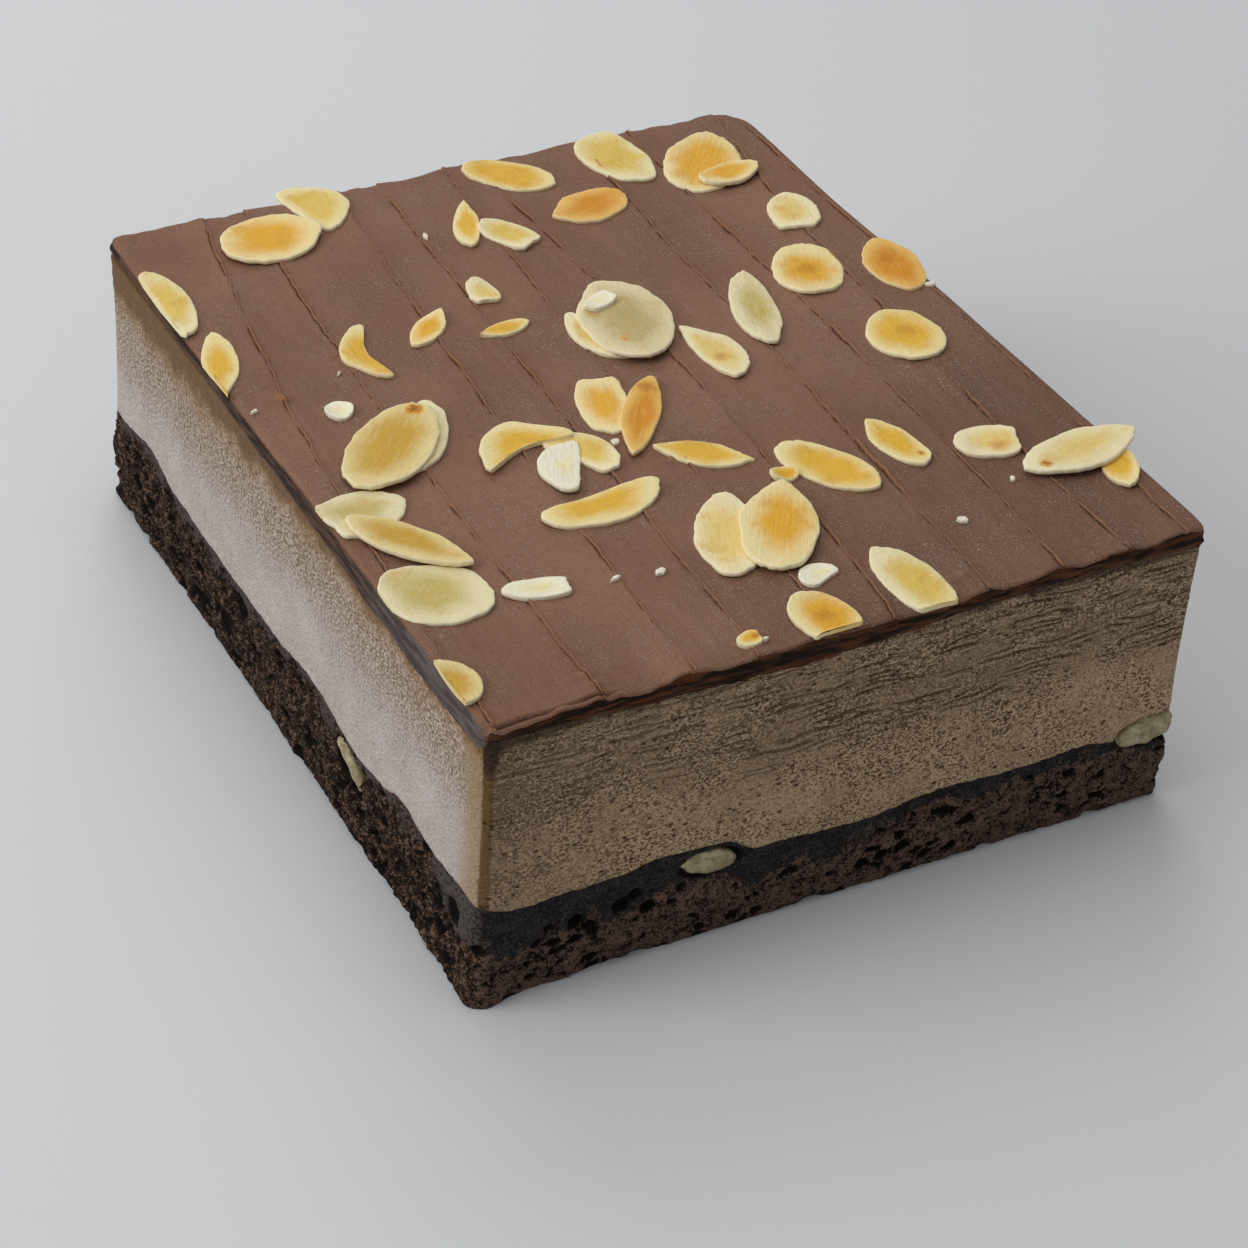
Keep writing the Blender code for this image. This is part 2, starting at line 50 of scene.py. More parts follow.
scene = bpy.context.scene
MM = 0.001
WIDTH = 130
DEPTH = 157
BASE_THICKNESS = 16.8
CORNER_RADII = {(-1, -1): 3, (1, -1): 1.5, (1, 1): 7, (-1, 1): 3.5}
# How far the right side is drawn in, against Y
RIGHT_SIDE = ((0, 0), (42, 1.6), (78.5, 0.9))
# How far the base rises over that thickness at the cut faces: on the front against X, on the left against Y
FRONT_LINE = ((-65, 2.3), (-58, 0.8), (-45, 1), (-30, 2.4), (-22, 1.9), (-15, -1.4), (2, -2.2), (22, -0.4),
              (30, -1.2), (48, -0.7), (58, -2.6), (65, -2.8))
LEFT_LINE = ((-78.5, 2.6), (-62, 1.7), (-50, 3.4), (-43, 1), (-34, -0.5), (-14, 2.4), (0, 0.8), (30, 0.5),
             (47, 1), (59, 3.5), (74, 1.7), (78.5, 2.2))
# How far into the slab that rise is felt
LINE_REACH = 16
BASE_STEP = 0.42
BASE_LEVELS = 58
CAP_SHARES = (0.96, 0.85, 0.6, 0.3)


class Level:
    """A value that varies over a surface. Sums on it add Math nodes to its finish."""

    def __init__(self, finish, socket):
        self.finish = finish
        self.socket = socket

    def maths(self, operation, *values):
        return self.finish.node("Math", {"operation": operation}, dict(enumerate(values)))

    def __add__(self, other):
        return self.maths("ADD", self, other)

    def __sub__(self, other):
        return self.maths("SUBTRACT", self, other)

    def __rsub__(self, other):
        return self.maths("SUBTRACT", other, self)

    def __mul__(self, other):
        return self.maths("MULTIPLY", self, other)

    __radd__ = __add__
    __rmul__ = __mul__

    def rise(self, low, high):
        """From 0 at low to 1 at high, smoothly and level beyond; low may be above high."""
        inputs = {"Value": self, "From Min": low, "From Max": high}
        return self.finish.node("MapRange", {"interpolation_type": "SMOOTHSTEP"}, inputs)


class Finish:
    """A food's finish, as nodes in front of one Principled shader."""

    def __init__(self, name):
        self.material = bpy.data.materials.new(name)
        self.material.use_nodes = True
        self.shader = self.material.node_tree.nodes["Principled BSDF"]
        self.place = self.node("TexCoord", {}, {}, "Object")

    def node(self, kind, settings, inputs, output=0):
        made = self.material.node_tree.nodes.new("ShaderNode" + kind)
        for name, value in settings.items():
            setattr(made, name, value)
        self.fill(made, inputs)
        return Level(self, made.outputs[output])

    def fill(self, made, inputs):
        for name, value in inputs.items():
            socket = made.inputs[name]
            if isinstance(value, Level):
                self.material.node_tree.links.new(value.socket, socket)
            elif socket.type == "RGBA":
                socket.default_value = (*value, 1)
            else:
                socket.default_value = value

    def value_of(self, name, output="Fac"):
        """The value, colour or place that the mesh carries under this name."""
        return self.node("Attribute", {"attribute_name": name}, {}, output)

    def scaled(self, size, stretch=(1, 1, 1), place=None):
        scale = [1 / (size * MM * each) for each in stretch]
        return self.node("Mapping", {}, {"Vector": place or self.place, "Scale": scale})

    def grain(self, size, detail=2, stretch=(1, 1, 1), place=None):
        """Soft blotches about size mm across, from 0 to 1 around 0.5."""
        inputs = {"Vector": self.scaled(size, stretch, place), "Scale": 1, "Detail": detail}
        return self.node("TexNoise", {}, inputs)

    def specks(self, size, stretch=(1, 1, 1)):
        """Distance to the nearest of many scattered centres size mm apart, as a share of size."""
        return self.node("TexVoronoi", {}, {"Vector": self.scaled(size, stretch), "Scale": 1})

    def mix(self, share, first, second):
        return self.node("Mix", {"data_type": "RGBA"}, {0: share, 6: first, 7: second}, 2)

    def over(self, colour, *layers):
        """The colour with each (share, tint) laid over it in turn."""
        for share, tint in layers:
            colour = self.mix(share, colour, tint)
        return colour

    def dress(self, colour, roughness, relief, depth, specular=0.14):
        """Fills the shader. The relief runs from 0 to 1 and stands for depth mm of bump."""
        bump = self.node("Bump", {}, {"Height": relief, "Distance": depth * MM})
        self.fill(self.shader, {"Base Color": colour, "Roughness": roughness, "Normal": bump})
        self.fill(self.shader, {"Specular IOR Level": specular})


# Noise is taken on a turned grid, so that no wall lies along it
TURN = np.array(Matrix.Rotation(0.7, 3, Vector((1, 2, 3))))


def at_each(measure, points, size, shift):
    places = points.reshape(-1, 3) @ TURN / size + shift
    return np.array([measure(Vector(place)) for place in places]).reshape(points.shape[:-1])


def blotches(points, size, shift=0):
    """Smooth noise from about -1 to 1 at each point, its blotches about size mm across."""
    return at_each(noise.noise, points, size, shift)


def pits(points, size, shift=0):
    """Distance from each point to the nearest of many scattered centres, as a share of size."""
    return at_each(lambda point: noise.voronoi(point)[0][0], points, size, shift)


def noises(points, *layers):
    """The sum of layers of blotches, each given as strength, size and shift."""
    return sum(strength * blotches(points, size, shift) for strength, size, shift in layers)


def flat(x, y):
    """Points at height 0."""
    return np.stack([x, y + 0 * x, 0 * x], -1)


def smooth(value, low, high):
    share = np.clip((value - low) / (high - low), 0, 1)
    return share * share * (3 - 2 * share)


def eased(line, place):
    """Height of a smooth line through (place, height) points, level beyond its ends."""
    places, heights = np.array(line, float).T
    at = np.clip(np.searchsorted(places, place) - 1, 0, len(places) - 2)
    share = smooth(place, places[at], places[at + 1])
    return heights[at] + (heights[at + 1] - heights[at]) * share


def rounded(x, y):
    """Moves points of the rectangular plan so that its corners are arcs and its right side is drawn in."""
    radius = np.zeros_like(x)
    for (side_x, side_y), corner in CORNER_RADII.items():
        radius = np.where((np.sign(x + 1e-9) == side_x) & (np.sign(y + 1e-9) == side_y), corner, radius)
    over_x = np.abs(x) - (WIDTH / 2 - radius)
    over_y = np.abs(y) - (DEPTH / 2 - radius)
    reach = np.maximum(np.hypot(over_x, over_y), 1e-9)
    scale = np.where((over_x > 0) & (over_y > 0), np.maximum(over_x, over_y) / reach, 1)
    x = np.where(scale < 1, np.copysign(WIDTH / 2 - radius + over_x * scale, x), x)
    y = np.where(scale < 1, np.copysign(DEPTH / 2 - radius + over_y * scale, y), y)
    x = np.where(x > 0, x * (1 - eased(RIGHT_SIDE, y) / (WIDTH / 2)), x)
    return x, y


def base_top(x, y):
    from_front = np.exp(-(y + DEPTH / 2) / LINE_REACH)
    from_left = np.exp(-(x + WIDTH / 2) / LINE_REACH)
    ripple = 0.9 * np.sin(x / 9) * np.sin(y / 11 + 1)
    front = eased(FRONT_LINE, x) * from_front
    left = eased(LEFT_LINE, y) * from_left * (1 - from_front)
    return BASE_THICKNESS + front + left + ripple * (1 - from_front) * (1 - from_left)


def ragged_line(ring):
    """Height of the line between base and mousse at each place of an outline."""
    line = base_top(*ring.T)
    edge = np.concatenate([ring, line[:, None]], 1)
    return line + noises(edge, (0.4, 3.5, 0), (0.25, 1.3, 7))


def outward_of(ring):
    """The outward direction at each place of an anticlockwise outline."""
    ahead = np.roll(ring, -2, 0) - np.roll(ring, 2, 0)
    outward = np.stack([ahead[:, 1], -ahead[:, 0]], 1)
    return outward / np.linalg.norm(outward, axis=1)[:, None]


def plan_ring(step):
    """The slab's outline seen from above, anticlockwise, and the outward direction at each place."""
    across = np.linspace(-0.5, 0.5, round(WIDTH / step) + 1)[:-1] * WIDTH
    along = np.linspace(-0.5, 0.5, round(DEPTH / step) + 1)[:-1] * DEPTH
    x = np.concatenate([across, np.full(len(along), WIDTH / 2), -across, np.full(len(along), -WIDTH / 2)])
    y = np.concatenate([np.full(len(across), -DEPTH / 2), along, np.full(len(across), DEPTH / 2), -along])
    ring = np.stack(rounded(x, y), 1)
    return ring, outward_of(ring)


def wall(ring, outward, heights, offsets):
    """Points of a wall on the outline: heights and offsets are given for each level and place."""
    places = ring[None] + outward[None] * offsets[..., None]
    return np.concatenate([places, heights[..., None]], 2)


def drawn_in(ring, shares, surface):
    """The outline made smaller, to each share of its size, and laid on surface(x, y)."""
    return [np.stack([x, y, surface(x, y)], 1) for x, y in (ring.T[:2] * share for share in shares)]


def capped(rings, below, above):
    """Adds inner rings under and over the wall, on the surfaces below(x, y) and above(x, y)."""
    under, over = drawn_in(rings[0], CAP_SHARES, below), drawn_in(rings[-1], CAP_SHARES, above)
    return np.concatenate([under[::-1], rings, over])


def numbered(start, count, rings):
    """The numbers of the points of each ring of count points, the first of them start."""
    return [start + count * i + np.arange(count) for i in range(rings)]


def sleeves(rings):
    """Faces that join each ring to the one over it, all given as the numbers of their points."""
    return [face for low, high in zip(rings, rings[1:])
            for face in zip(low, np.roll(low, -1), np.roll(high, -1), high)]


def fan(ring, centre):
    """Faces that close a ring around its centre."""
    return [(one, other, centre) for one, other in zip(ring, np.roll(ring, -1))]


def skin(rings):
    """Joins equal rings of points into a closed skin, with a fan at either end."""
    level_count, count, _ = rings.shape
    numbers = numbered(0, count, level_count)
    end = level_count * count
    points = np.concatenate([rings.reshape(-1, 3), rings[[0, -1]].mean(1)])
    return points, sleeves(numbers) + fan(numbers[0][::-1], end) + fan(numbers[-1], end + 1)


def add_piece(name, points, faces, finish, slot, replaced=(), values=None):
    """Adds a piece of the slab. values are numbers, colours or places that its points carry, by name."""
    mesh = bpy.data.meshes.new(name)
    mesh.from_pydata(np.array(points) * MM, [], faces)
    mesh.shade_smooth()
    mesh.materials.append(finish.material)
    for key, numbers in (values or {}).items():
        numbers = np.asarray(numbers, np.float32)
        kind, field = ("FLOAT", "value") if numbers.ndim == 1 else ("FLOAT_VECTOR", "vector")
        mesh.attributes.new(key, kind, "POINT").data.foreach_set(field, numbers.ravel())
    piece = bpy.data.objects.new(name, mesh)
    scene.collection.objects.link(piece)
    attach(piece, "root")
    if replaced:
        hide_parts(*replaced)
    return piece


def away_from_nuts(points):
    """For each nut, how far each point is from its middle, as a share of the way to its pocket's side."""
    return [np.linalg.norm((points - middle) / (np.array(half_sizes) + POCKET_GAP), axis=2)
            for middle, half_sizes in NUTS]


def over_caps(values, heights, rings):
    """Values of the wall's points, by name, continued over the rings that cap it and their two middles."""
    extra = (len(rings) - len(heights)) // 2
    carried = {}
    for name, each in values.items():
        each = np.broadcast_to(each, heights.shape)
        whole = np.concatenate([each[:1]] * extra + [each] + [each[-1:]] * extra)
        carried[name] = np.append(whole.ravel(), [0, 0])
    return carried


# Open pores on the two faces that show them: x, y, z and radius
PORES = ((-48, -78.5, 11.8, 1.3), (-45.6, -78.5, 10, 1.1), (-40, -78.5, 12.2, 1.5), (-37.6, -78.5, 13.6, 1.2),
         (-35, -78.5, 10.2, 1.3), (-65.5, -70.8, 13.6, 2.4), (-65.8, -60, 8, 1.1), (-65.8, -12, 9.4, 1.2),
         (-65.8, 22, 11, 1.2), (-65.5, 55, 12.6, 1.3), (12, -78.5, 9, 1), (44, -78.5, 7, 1))

# Walnut pieces met by the knife at the side, at the front and at the corner: middle and half sizes
NUTS = (((-65, -30, 13), (3.5, 4.6, 2.7)), ((-24, -78.5, 15.2), (5.6, 4, 2.4)),
        ((60.4, -77.5, 15.3), (6.8, 3.6, 2.8)))
POCKET_GAP = 0.2

ring, outward = plan_ring(BASE_STEP)
level_share = np.linspace(0, 1, BASE_LEVELS + 1)[:, None]
line = ragged_line(ring)
heights = level_share * line
flat_wall = wall(ring, outward, heights, 0 * heights)
wall_x, wall_y, _ = np.moveaxis(flat_wall, 2, 0)
on_left, on_front = smooth(-outward.T[:, None], 0.5, 0.9)
loose = noises(flat_wall, (3.2, 5, 3), (2, 1.7, 13), (1.2, 0.8, 23))
# How far below the line the side is pressed smooth
pressed_depth = on_front * (1.6 + 4.4 * smooth(wall_x, 20, -20))
pressed_depth = pressed_depth + on_left * (0.6 + 7 * smooth(wall_y, -58, -73))
crumbly = smooth(line - heights + loose - pressed_depth, -0.4, 2.4) * 0.85 + 0.15
uneven = flat_wall + 0.9 * blotches(flat_wall, 1.4, 77)[..., None]
hollow = smooth(pits(uneven * (0.8, 0.5, 1.35), 3.4, 11), 0.46 + 0.06 * on_left, 0.16 + 0.1 * on_left)
hollow = hollow * smooth(blotches(flat_wall, 9, 21), -0.4, 0.1)
small_hollow = smooth(pits(uneven * (1, 0.6, 1.2), 1.8, 5), 0.46, 0.18)
small_hollow = small_hollow * smooth(blotches(flat_wall, 5, 33) + 0.25 * on_left, -0.25, 0.2)
pore = 0 * heights
for *middle, radius in PORES:
    away = np.linalg.norm(flat_wall - middle, axis=2) * (1 + 0.2 * blotches(flat_wall, 1.5, 2))
    pore = np.maximum(pore, smooth(away, radius * 1.1, radius * 0.8))
for away in away_from_nuts(flat_wall):
    pore = np.maximum(pore, 0.8 * smooth(away, 1.1, 0.85))
crumb = noises(flat_wall, (0.42, 4, 0), (0.22, 1.7, 9), (0.38, 0.95, 4))
# The left side is roughest towards the front
crumb = crumb * (1 + on_left * (0.85 * smooth(wall_y, 15, -35) - 0.25))
chunk_lost = smooth(blotches(flat_wall, 6, 50), 0.22, 0.5) * smooth(heights, 7, 1)
corner_away = np.hypot(wall_x + WIDTH / 2, wall_y + DEPTH / 2)
spread = 1.1 * smooth(-wall_x, 0.85 * WIDTH / 2, WIDTH / 2) + 2 * np.exp(-corner_away / 5)
offsets = 0.5 * np.sin(math.pi * level_share) - 0.45 * np.exp(-heights / 1.2)
offsets += crumb * crumbly * (0.55 + 0.45 * smooth(heights, 0, 3))
offsets += spread * (1 - level_share) ** 2 + 0.35 * blotches(flat_wall, 11, 90) - 0.8 * chunk_lost
off_foot = smooth(heights, 0.2, 2.6)
offsets -= (hollow + 0.7 * small_hollow) * (1 + 0.4 * on_left) * crumbly * off_foot + 1.4 * pore
rings = capped(wall(ring, outward, heights, offsets), lambda x, y: x * 0, base_top)
values = {
    "crumbly": crumbly,
    # Where the side is sunk in hollows and pores: painted shade darkens the crumb there
    "sunk": np.clip(hollow * crumbly + 0.6 * small_hollow * crumbly + pore, 0, 1),
    "on_left": on_left,
    "on_front": on_front,
    "proud": crumb + 0.15 * on_front,
}

baked = Finish("dark baked crumb")
blotch = baked.grain(2.6, 3)
fine = baked.grain(0.5)
crumb_share = baked.value_of("crumbly")
# Painted light and shade: the crumb is lighter where it stands proud and darker where it lies low
proud = baked.value_of("proud") * 0.8 + fine * 1.1 + baked.grain(0.24) * 0.5 - 0.8
light_grain = baked.specks(0.85).rise(0.3, 0.18) * baked.grain(2.4).rise(0.44, 0.56) * crumb_share
flecks = baked.grain(0.42, 1, (1, 1.4, 1)) + (baked.grain(1.6) - 0.5) * 0.7
brown = baked.over(
    (0.018, 0.009, 0.006),
    (fine.rise(0.42, 0.66), (0.07, 0.038, 0.024)),
    (blotch.rise(0.4, 0.66) * 0.7, (0.014, 0.009, 0.007)),
    # Painted highlight on the proud crumb, then painted shade on its low parts
    (proud.rise(0, 0.5) * 0.7, (0.125, 0.07, 0.043)),
    (proud.rise(-0.05, -0.4) * 0.8, (0.009, 0.005, 0.0035)),
    (light_grain * 0.8, (0.26, 0.165, 0.105)),
    (baked.value_of("on_front") * 0.62, (0.145, 0.094, 0.07)),
    (flecks.rise(0.56, 0.72) * 0.75, (0.2, 0.118, 0.077)),
    (flecks.rise(0.46, 0.38) * 0.9, (0.0035, 0.002, 0.0015)),
)
# The pressed part, then the crumb over it and the painted shade of its hollows and pores
dark = baked.over(
    (0.007, 0.0055, 0.0055),
    ((fine * 0.6 + blotch * 0.4).rise(0.4, 0.62), (0.028, 0.0238, 0.0245)),
    (baked.value_of("on_left") * fine.rise(0.35, 0.55) * 0.8, (0.105, 0.079, 0.068)),
    (flecks.rise(0.56, 0.7) * 0.45, (0.075, 0.063, 0.062)),
    ((crumb_share + fine * 1.2 - 0.6).rise(0.2, 0.85), brown),
    (baked.value_of("sunk").rise(0.08, 0.5) * 0.96, (0.0035, 0.0025, 0.002)),
)
baked.dress(dark, 0.62 + 0.25 * crumb_share, fine * 0.6 + baked.grain(0.22) * 0.4, 0.35)
values = over_caps(values, heights, rings)
add_piece("baked_base", *skin(rings), baked, "baked_base", ["brownie_base"], values)

# ----------------------------------------------------------
# The mousse: a tall set layer of coffee cream, cut with a hot knife. The front shows wavy lines where the
# knife dragged and small bubbles; the left side is frosted and finely pebbled, stained under the chocolate.

TOPPING_THICKNESS = 2.8
CORNER_HEIGHTS = {(-1, -1): 55, (1, -1): 56.1, (1, 1): 53.6, (-1, 1): 53.7}
MOUSSE_STEP = 0.7
MOUSSE_LEVELS = 115
RIPPLE_SPACING = 1.35
RIPPLE_STRETCH = (0.3, 0.3, 1)


def seam_top(x, y):
    """Height of the chocolate's seams, which falls away from corner to corner."""
    total = 0
    for (side_x, side_y), height in CORNER_HEIGHTS.items():
        total = total + height * (1 + side_x * 2 * x / WIDTH) * (1 + side_y * 2 * y / DEPTH) / 4
    return total


def mousse_top(x, y):
    return seam_top(x, y) - TOPPING_THICKNESS


ring, outward = plan_ring(MOUSSE_STEP)
level_share = np.linspace(0, 1, MOUSSE_LEVELS + 1)[:, None]
foot, head = ragged_line(ring), mousse_top(*ring.T)
heights = foot + (head - foot) * level_share
flat_wall = wall(ring, outward, heights, 0 * heights)
wall_x, wall_y, _ = np.moveaxis(flat_wall, 2, 0)
faces_left, faces_front = smooth(-outward.T[:, None], 0.6, 0.95)
faces_right, faces_back = smooth(outward.T[:, None], 0.6, 0.95)
dragged = smooth(level_share + 0.12 * blotches(flat_wall, 20, 8), 0.3, 0.56)
dragged = dragged * (faces_front + 0.6 * faces_right + 0.6 * faces_back)
dragged = dragged * (0.6 + 0.4 * smooth(wall_x, -45, 20))
bent_height = heights + noises(flat_wall, (1.1, 17, 5), (0.35, 6, 15))
drawn_out = flat_wall * RIPPLE_STRETCH
ripple = bent_height / RIPPLE_SPACING + noises(drawn_out, (1, 3.2, 40), (0.4, 1.3, 9))
whole_wave = smooth(blotches(drawn_out, 1.9, 77), -0.25, 0.3)
drag_lines = 0.115 * np.sin(2 * math.pi * ripple) * whole_wave + 0.14 * blotches(drawn_out, 1.4, 19)
bubble = smooth(pits(flat_wall, 4.5, 55), 0.14, 0.05) * (0.5 * faces_front + 0.25)
offsets = -0.35 * np.sin(math.pi * level_share) + 0.14 * blotches(flat_wall, 14, 1) + dragged * drag_lines
offsets += 0.07 * blotches(flat_wall, 2.2, 70) * (1 - 0.5 * dragged) - 0.45 * bubble
offsets += 0.12 * blotches(flat_wall, 1.3, 20) * faces_left * smooth(level_share, 0.25, 0.6)
for away in away_from_nuts(flat_wall):
    offsets -= smooth(away, 1.1, 0.9)
rings = capped(wall(ring, outward, heights, offsets), base_top, mousse_top)
from_left = wall_x + WIDTH / 2
strip_reach = 0.9 + 1.4 * smooth(level_share, 0.75, 1)
strip = np.exp(-(np.maximum(from_left - 1.2, 0) / strip_reach) ** 2)
values = {
    "dragged": dragged,
    "ripple": ripple,
    "whole_ripple": whole_wave,
    "left": faces_left,
    # The chocolate's stain reaches lower towards the back
    "under_chocolate": head - heights - 4 * faces_left * smooth(wall_y, -30, 55),
    "near_corner": smooth(-outward[:, 1], 0.35, 0.65) * strip,
    "by_corner": np.exp(-from_left / 16) * faces_front + smooth(wall_y + DEPTH / 2, 10, 3) * faces_left,
}

mousse = Finish("coffee mousse")
drag = mousse.value_of("dragged")
left = mousse.value_of("left")
depth_below = mousse.value_of("under_chocolate")
by_corner = mousse.value_of("by_corner")
ripple_turn = mousse.value_of("ripple") * (2 * math.pi)
cloud = mousse.grain(9, 3)
clouded = cloud.rise(0.35, 0.7)
grain = mousse.grain(0.4)
pebbles = mousse.grain(0.4, 1, (1.6, 1.6, 1))
lines = mousse.grain(0.75, 3, (9, 9, 1))
ripple_height = ripple_turn.maths("SINE", ripple_turn) + grain * 1.2
whole_ripple = drag * mousse.value_of("whole_ripple")
# Painted shade and highlight along the drag lines: grooves darker, ridges lighter; both also shape the relief
groove_and_shade = ripple_height.rise(0.1, -0.35) * whole_ripple
ridge_and_highlight = ripple_height.rise(1, 1.5) * whole_ripple
pitting = mousse.grain(0.34, 2, (1.4, 1.4, 1))
pitted = mousse.grain(8).rise(0.36, 0.62) * (1 - 0.7 * by_corner)
pit_and_shade = pitting.rise(0.45, 0.38) * (0.25 + 0.75 * pitted)
front_colour = mousse.over(
    (0.45, 0.31, 0.183),
    (clouded, (0.54, 0.375, 0.228)),
    (drag * 0.85, mousse.mix(lines.rise(0.38, 0.62), (0.25, 0.167, 0.095), (0.345, 0.238, 0.142))),
    (by_corner * (0.5 + 0.45 * drag), (0.12, 0.079, 0.045)),
    # Painted highlight on the ridges; painted shade in the grooves below
    (ridge_and_highlight * 0.7, (0.6, 0.435, 0.275)),
    (pitting.rise(0.54, 0.64) * (0.35 + 0.45 * pitted), (0.68, 0.5, 0.315)),
    # Painted shade inside the pits
    (pit_and_shade * 0.88, (0.085, 0.046, 0.016)),
    (groove_and_shade * 0.9, (0.07, 0.04, 0.015)),
)
grainy = (depth_below + cloud * 10).rise(31, 14) * 0.85 + 0.15
pebble_gap_shade = (pebbles * 0.85 + mousse.grain(0.9, 2, (1, 1, 5)) * 0.15).rise(0.51, 0.43) * grainy
left_colour = mousse.over(
    (0.44, 0.338, 0.244),
    (clouded, (0.49, 0.394, 0.306)),
    (depth_below.rise(9, 22), mousse.mix(clouded, (0.56, 0.48, 0.44), (0.62, 0.545, 0.515))),
    # Painted shade in the gaps between the pebbles
    (pebble_gap_shade * 0.8, (0.14, 0.09, 0.052)),
    (pebbles.rise(0.54, 0.64) * grainy * 0.7, (0.7, 0.62, 0.55)),
    (by_corner * 0.85, (0.37, 0.262, 0.135)),
)
stain_edge = depth_below + mousse.grain(4.5, 3) * 8
dots = mousse.specks(1.3).rise(0.3, 0.16) * mousse.grain(5, 1).rise(0.42, 0.55)
corner_brown = mousse.mix((depth_below + lines * 6).rise(13, 7), (0.165, 0.088, 0.028), (0.022, 0.008, 0.002))
bubbles_and_shade = mousse.specks(1.25, (1.6, 1.6, 1)).rise(0.26, 0.15) * mousse.grain(5).rise(0.46, 0.58)
small_bubbles = mousse.specks(0.7, (1.5, 1.5, 1)).rise(0.28, 0.16) * mousse.grain(3).rise(0.46, 0.6)
large_bubbles = mousse.specks(4.6).rise(0.085, 0.05) * mousse.grain(7).rise(0.4, 0.55)
bubbles_and_shade = bubbles_and_shade.maths("MAXIMUM", bubbles_and_shade, small_bubbles * 0.7)
bubbles_and_shade = bubbles_and_shade.maths("MAXIMUM", bubbles_and_shade, large_bubbles) * (1 - 0.75 * left)
smeared = (depth_below + lines * 4 + cloud * 2).rise(5.6, 3.4) * (1 - left)
whole = mousse.over(
    front_colour,
    (left, left_colour),
    (stain_edge.rise(13, 5.5) * left * 0.6, (0.34, 0.175, 0.055)),
    (stain_edge.rise(8.5, 4.5) * left * 0.85, (0.16, 0.08, 0.03)),
    (dots * stain_edge.rise(14, 7) * left * 0.7, (0.09, 0.045, 0.018)),
    ((mousse.value_of("near_corner") + (lines - 0.5) * 0.8).rise(0.2, 0.75) * 0.9, corner_brown),
    # Painted shade inside the open bubbles
    (bubbles_and_shade * 0.85, (0.055, 0.03, 0.011)),
    (grain.rise(0.5, 0.3) * 0.4, (0.13, 0.08, 0.045)),
    (smeared * 0.8, (0.05, 0.026, 0.013)),
)
mousse_relief = grain * 0.25 + pebbles * (0.1 + 0.6 * left) + lines * drag * 0.3 - 0.6 * bubbles_and_shade
mousse_relief = mousse_relief + (0.4 * ridge_and_highlight - 0.6 * pit_and_shade - 0.5 * groove_and_shade) * (1 - left)
mousse.dress(whole, 0.72 - 0.1 * left, mousse_relief, 0.65, 0.16)
values = over_caps(values, heights, rings)
add_piece("coffee_mousse", *skin(rings), mousse, "mousse", ["mousse_layer"], values)

# ----------------------------------------------------------
# The walnuts: pieces baked into the base, met by the knife and cut flush with the slab's faces. Each keeps
# its solid's shape, made finer, with the folds of the nut's flesh.

walnut = Finish("walnut flesh")
fold = walnut.grain(2.2)
flesh = walnut.over(
    (0.3, 0.235, 0.115),
    (fold.rise(0.35, 0.65), (0.5, 0.44, 0.26)),
    (walnut.grain(0.8).rise(0.58, 0.7) * 0.6, (0.17, 0.11, 0.05)),
)
walnut.dress(flesh, 0.5, fold * 0.7 + walnut.grain(0.5) * 0.3, 0.5, 0.5)
for name in ("walnut_side", "walnut_front", "walnut_corner"):
    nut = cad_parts[name]
    finer = nut.copy()
    finer.data = nut.data.copy()
    scene.collection.objects.link(finer)
    merged = finer.modifiers.new("merged", "WELD")
    merged.merge_threshold = 0.01 * MM
    rounder = finer.modifiers.new("rounder", "SUBSURF")
    rounder.levels = rounder.render_levels = 2
    graph = bpy.context.evaluated_depsgraph_get()
    shaped = bpy.data.meshes.new_from_object(finer.evaluated_get(graph))
    bpy.data.objects.remove(finer)
    points = np.array([vert.co for vert in shaped.vertices]) / MM
    normals = np.array([vert.normal for vert in shaped.vertices])
    points += normals * (0.3 + 0.35 * blotches(points, 1.8, 3))[:, None]
    faces = [tuple(face.vertices) for face in shaped.polygons]
    add_piece(name + "_flesh", points, faces, walnut, "walnut", [name])

# ----------------------------------------------------------
# The chocolate: milk chocolate spread with a knife in strokes that run front to back. Each stroke laps over
# the one on its left with a thin raised lip. The cut sides are darker, ragged, and smeared over the mousse.

SEAM_ROWS = (60, 0, -75)
SEAMS = ((-50, -58.5, -63), (-40, -43.5, -45), (-22, -26.5, -29.5), (-13, -15.5, -18.5), (0, -3, -4),
         (8, 10, 6), (29, 26.7, 23.5), (40.5, 40, 37.5), (57, 51.5, 49.5), (63.5, 63.5, 61))
STROKE_WIDTH = 13
STROKE_HOLLOW = 0.35
SEAM_MARGIN = 1.5
# The front rim, where the knife lifted: height against X, and how far back from the front it is felt
FRONT_RIM = ((-65, 54.2), (-59, 54.4), (-51, 54.9), (-45.5, 55.7), (-44, 54.9), (-39, 53.9), (-33, 54.9),
             (-31.5, 55.6), (-28, 55.1), (-24, 54.3), (-20, 54.5), (-17, 55.4), (-14.5, 54.7), (-12, 54.6),
             (-10, 55.3), (-5, 54.9), (-1, 54.8), (5, 55.2), (8, 54.6), (18, 54.4), (22.5, 55.7), (27, 54.9),
             (31, 55), (36, 56), (42, 55), (48.5, 56.2), (54, 55.2), (60, 56.4), (65, 55.8))
RIM_REACH = 3.2
# How low the chocolate was dragged down over the mousse: on the front against X, on the left against Y
FRONT_FOOT = ((-65, 52.2), (-52, 52.7), (-45, 51.7), (-32, 51.1), (-18, 50.7), (-7, 50.5), (2, 51),
              (11, 51.4), (18, 52.2), (26, 52.6), (38, 53), (54, 52.8), (65, 52.3))
LEFT_FOOT = ((-78.5, 50), (-60, 49.2), (-35, 49.6), (-22, 50.6), (5, 51.2), (35, 52), (67, 52.4))
# Loose folds that the knife left on the front rim: from X to X, in front of a crack
FOLDS = ((-64.2, -52.5), (-51, -42.5))
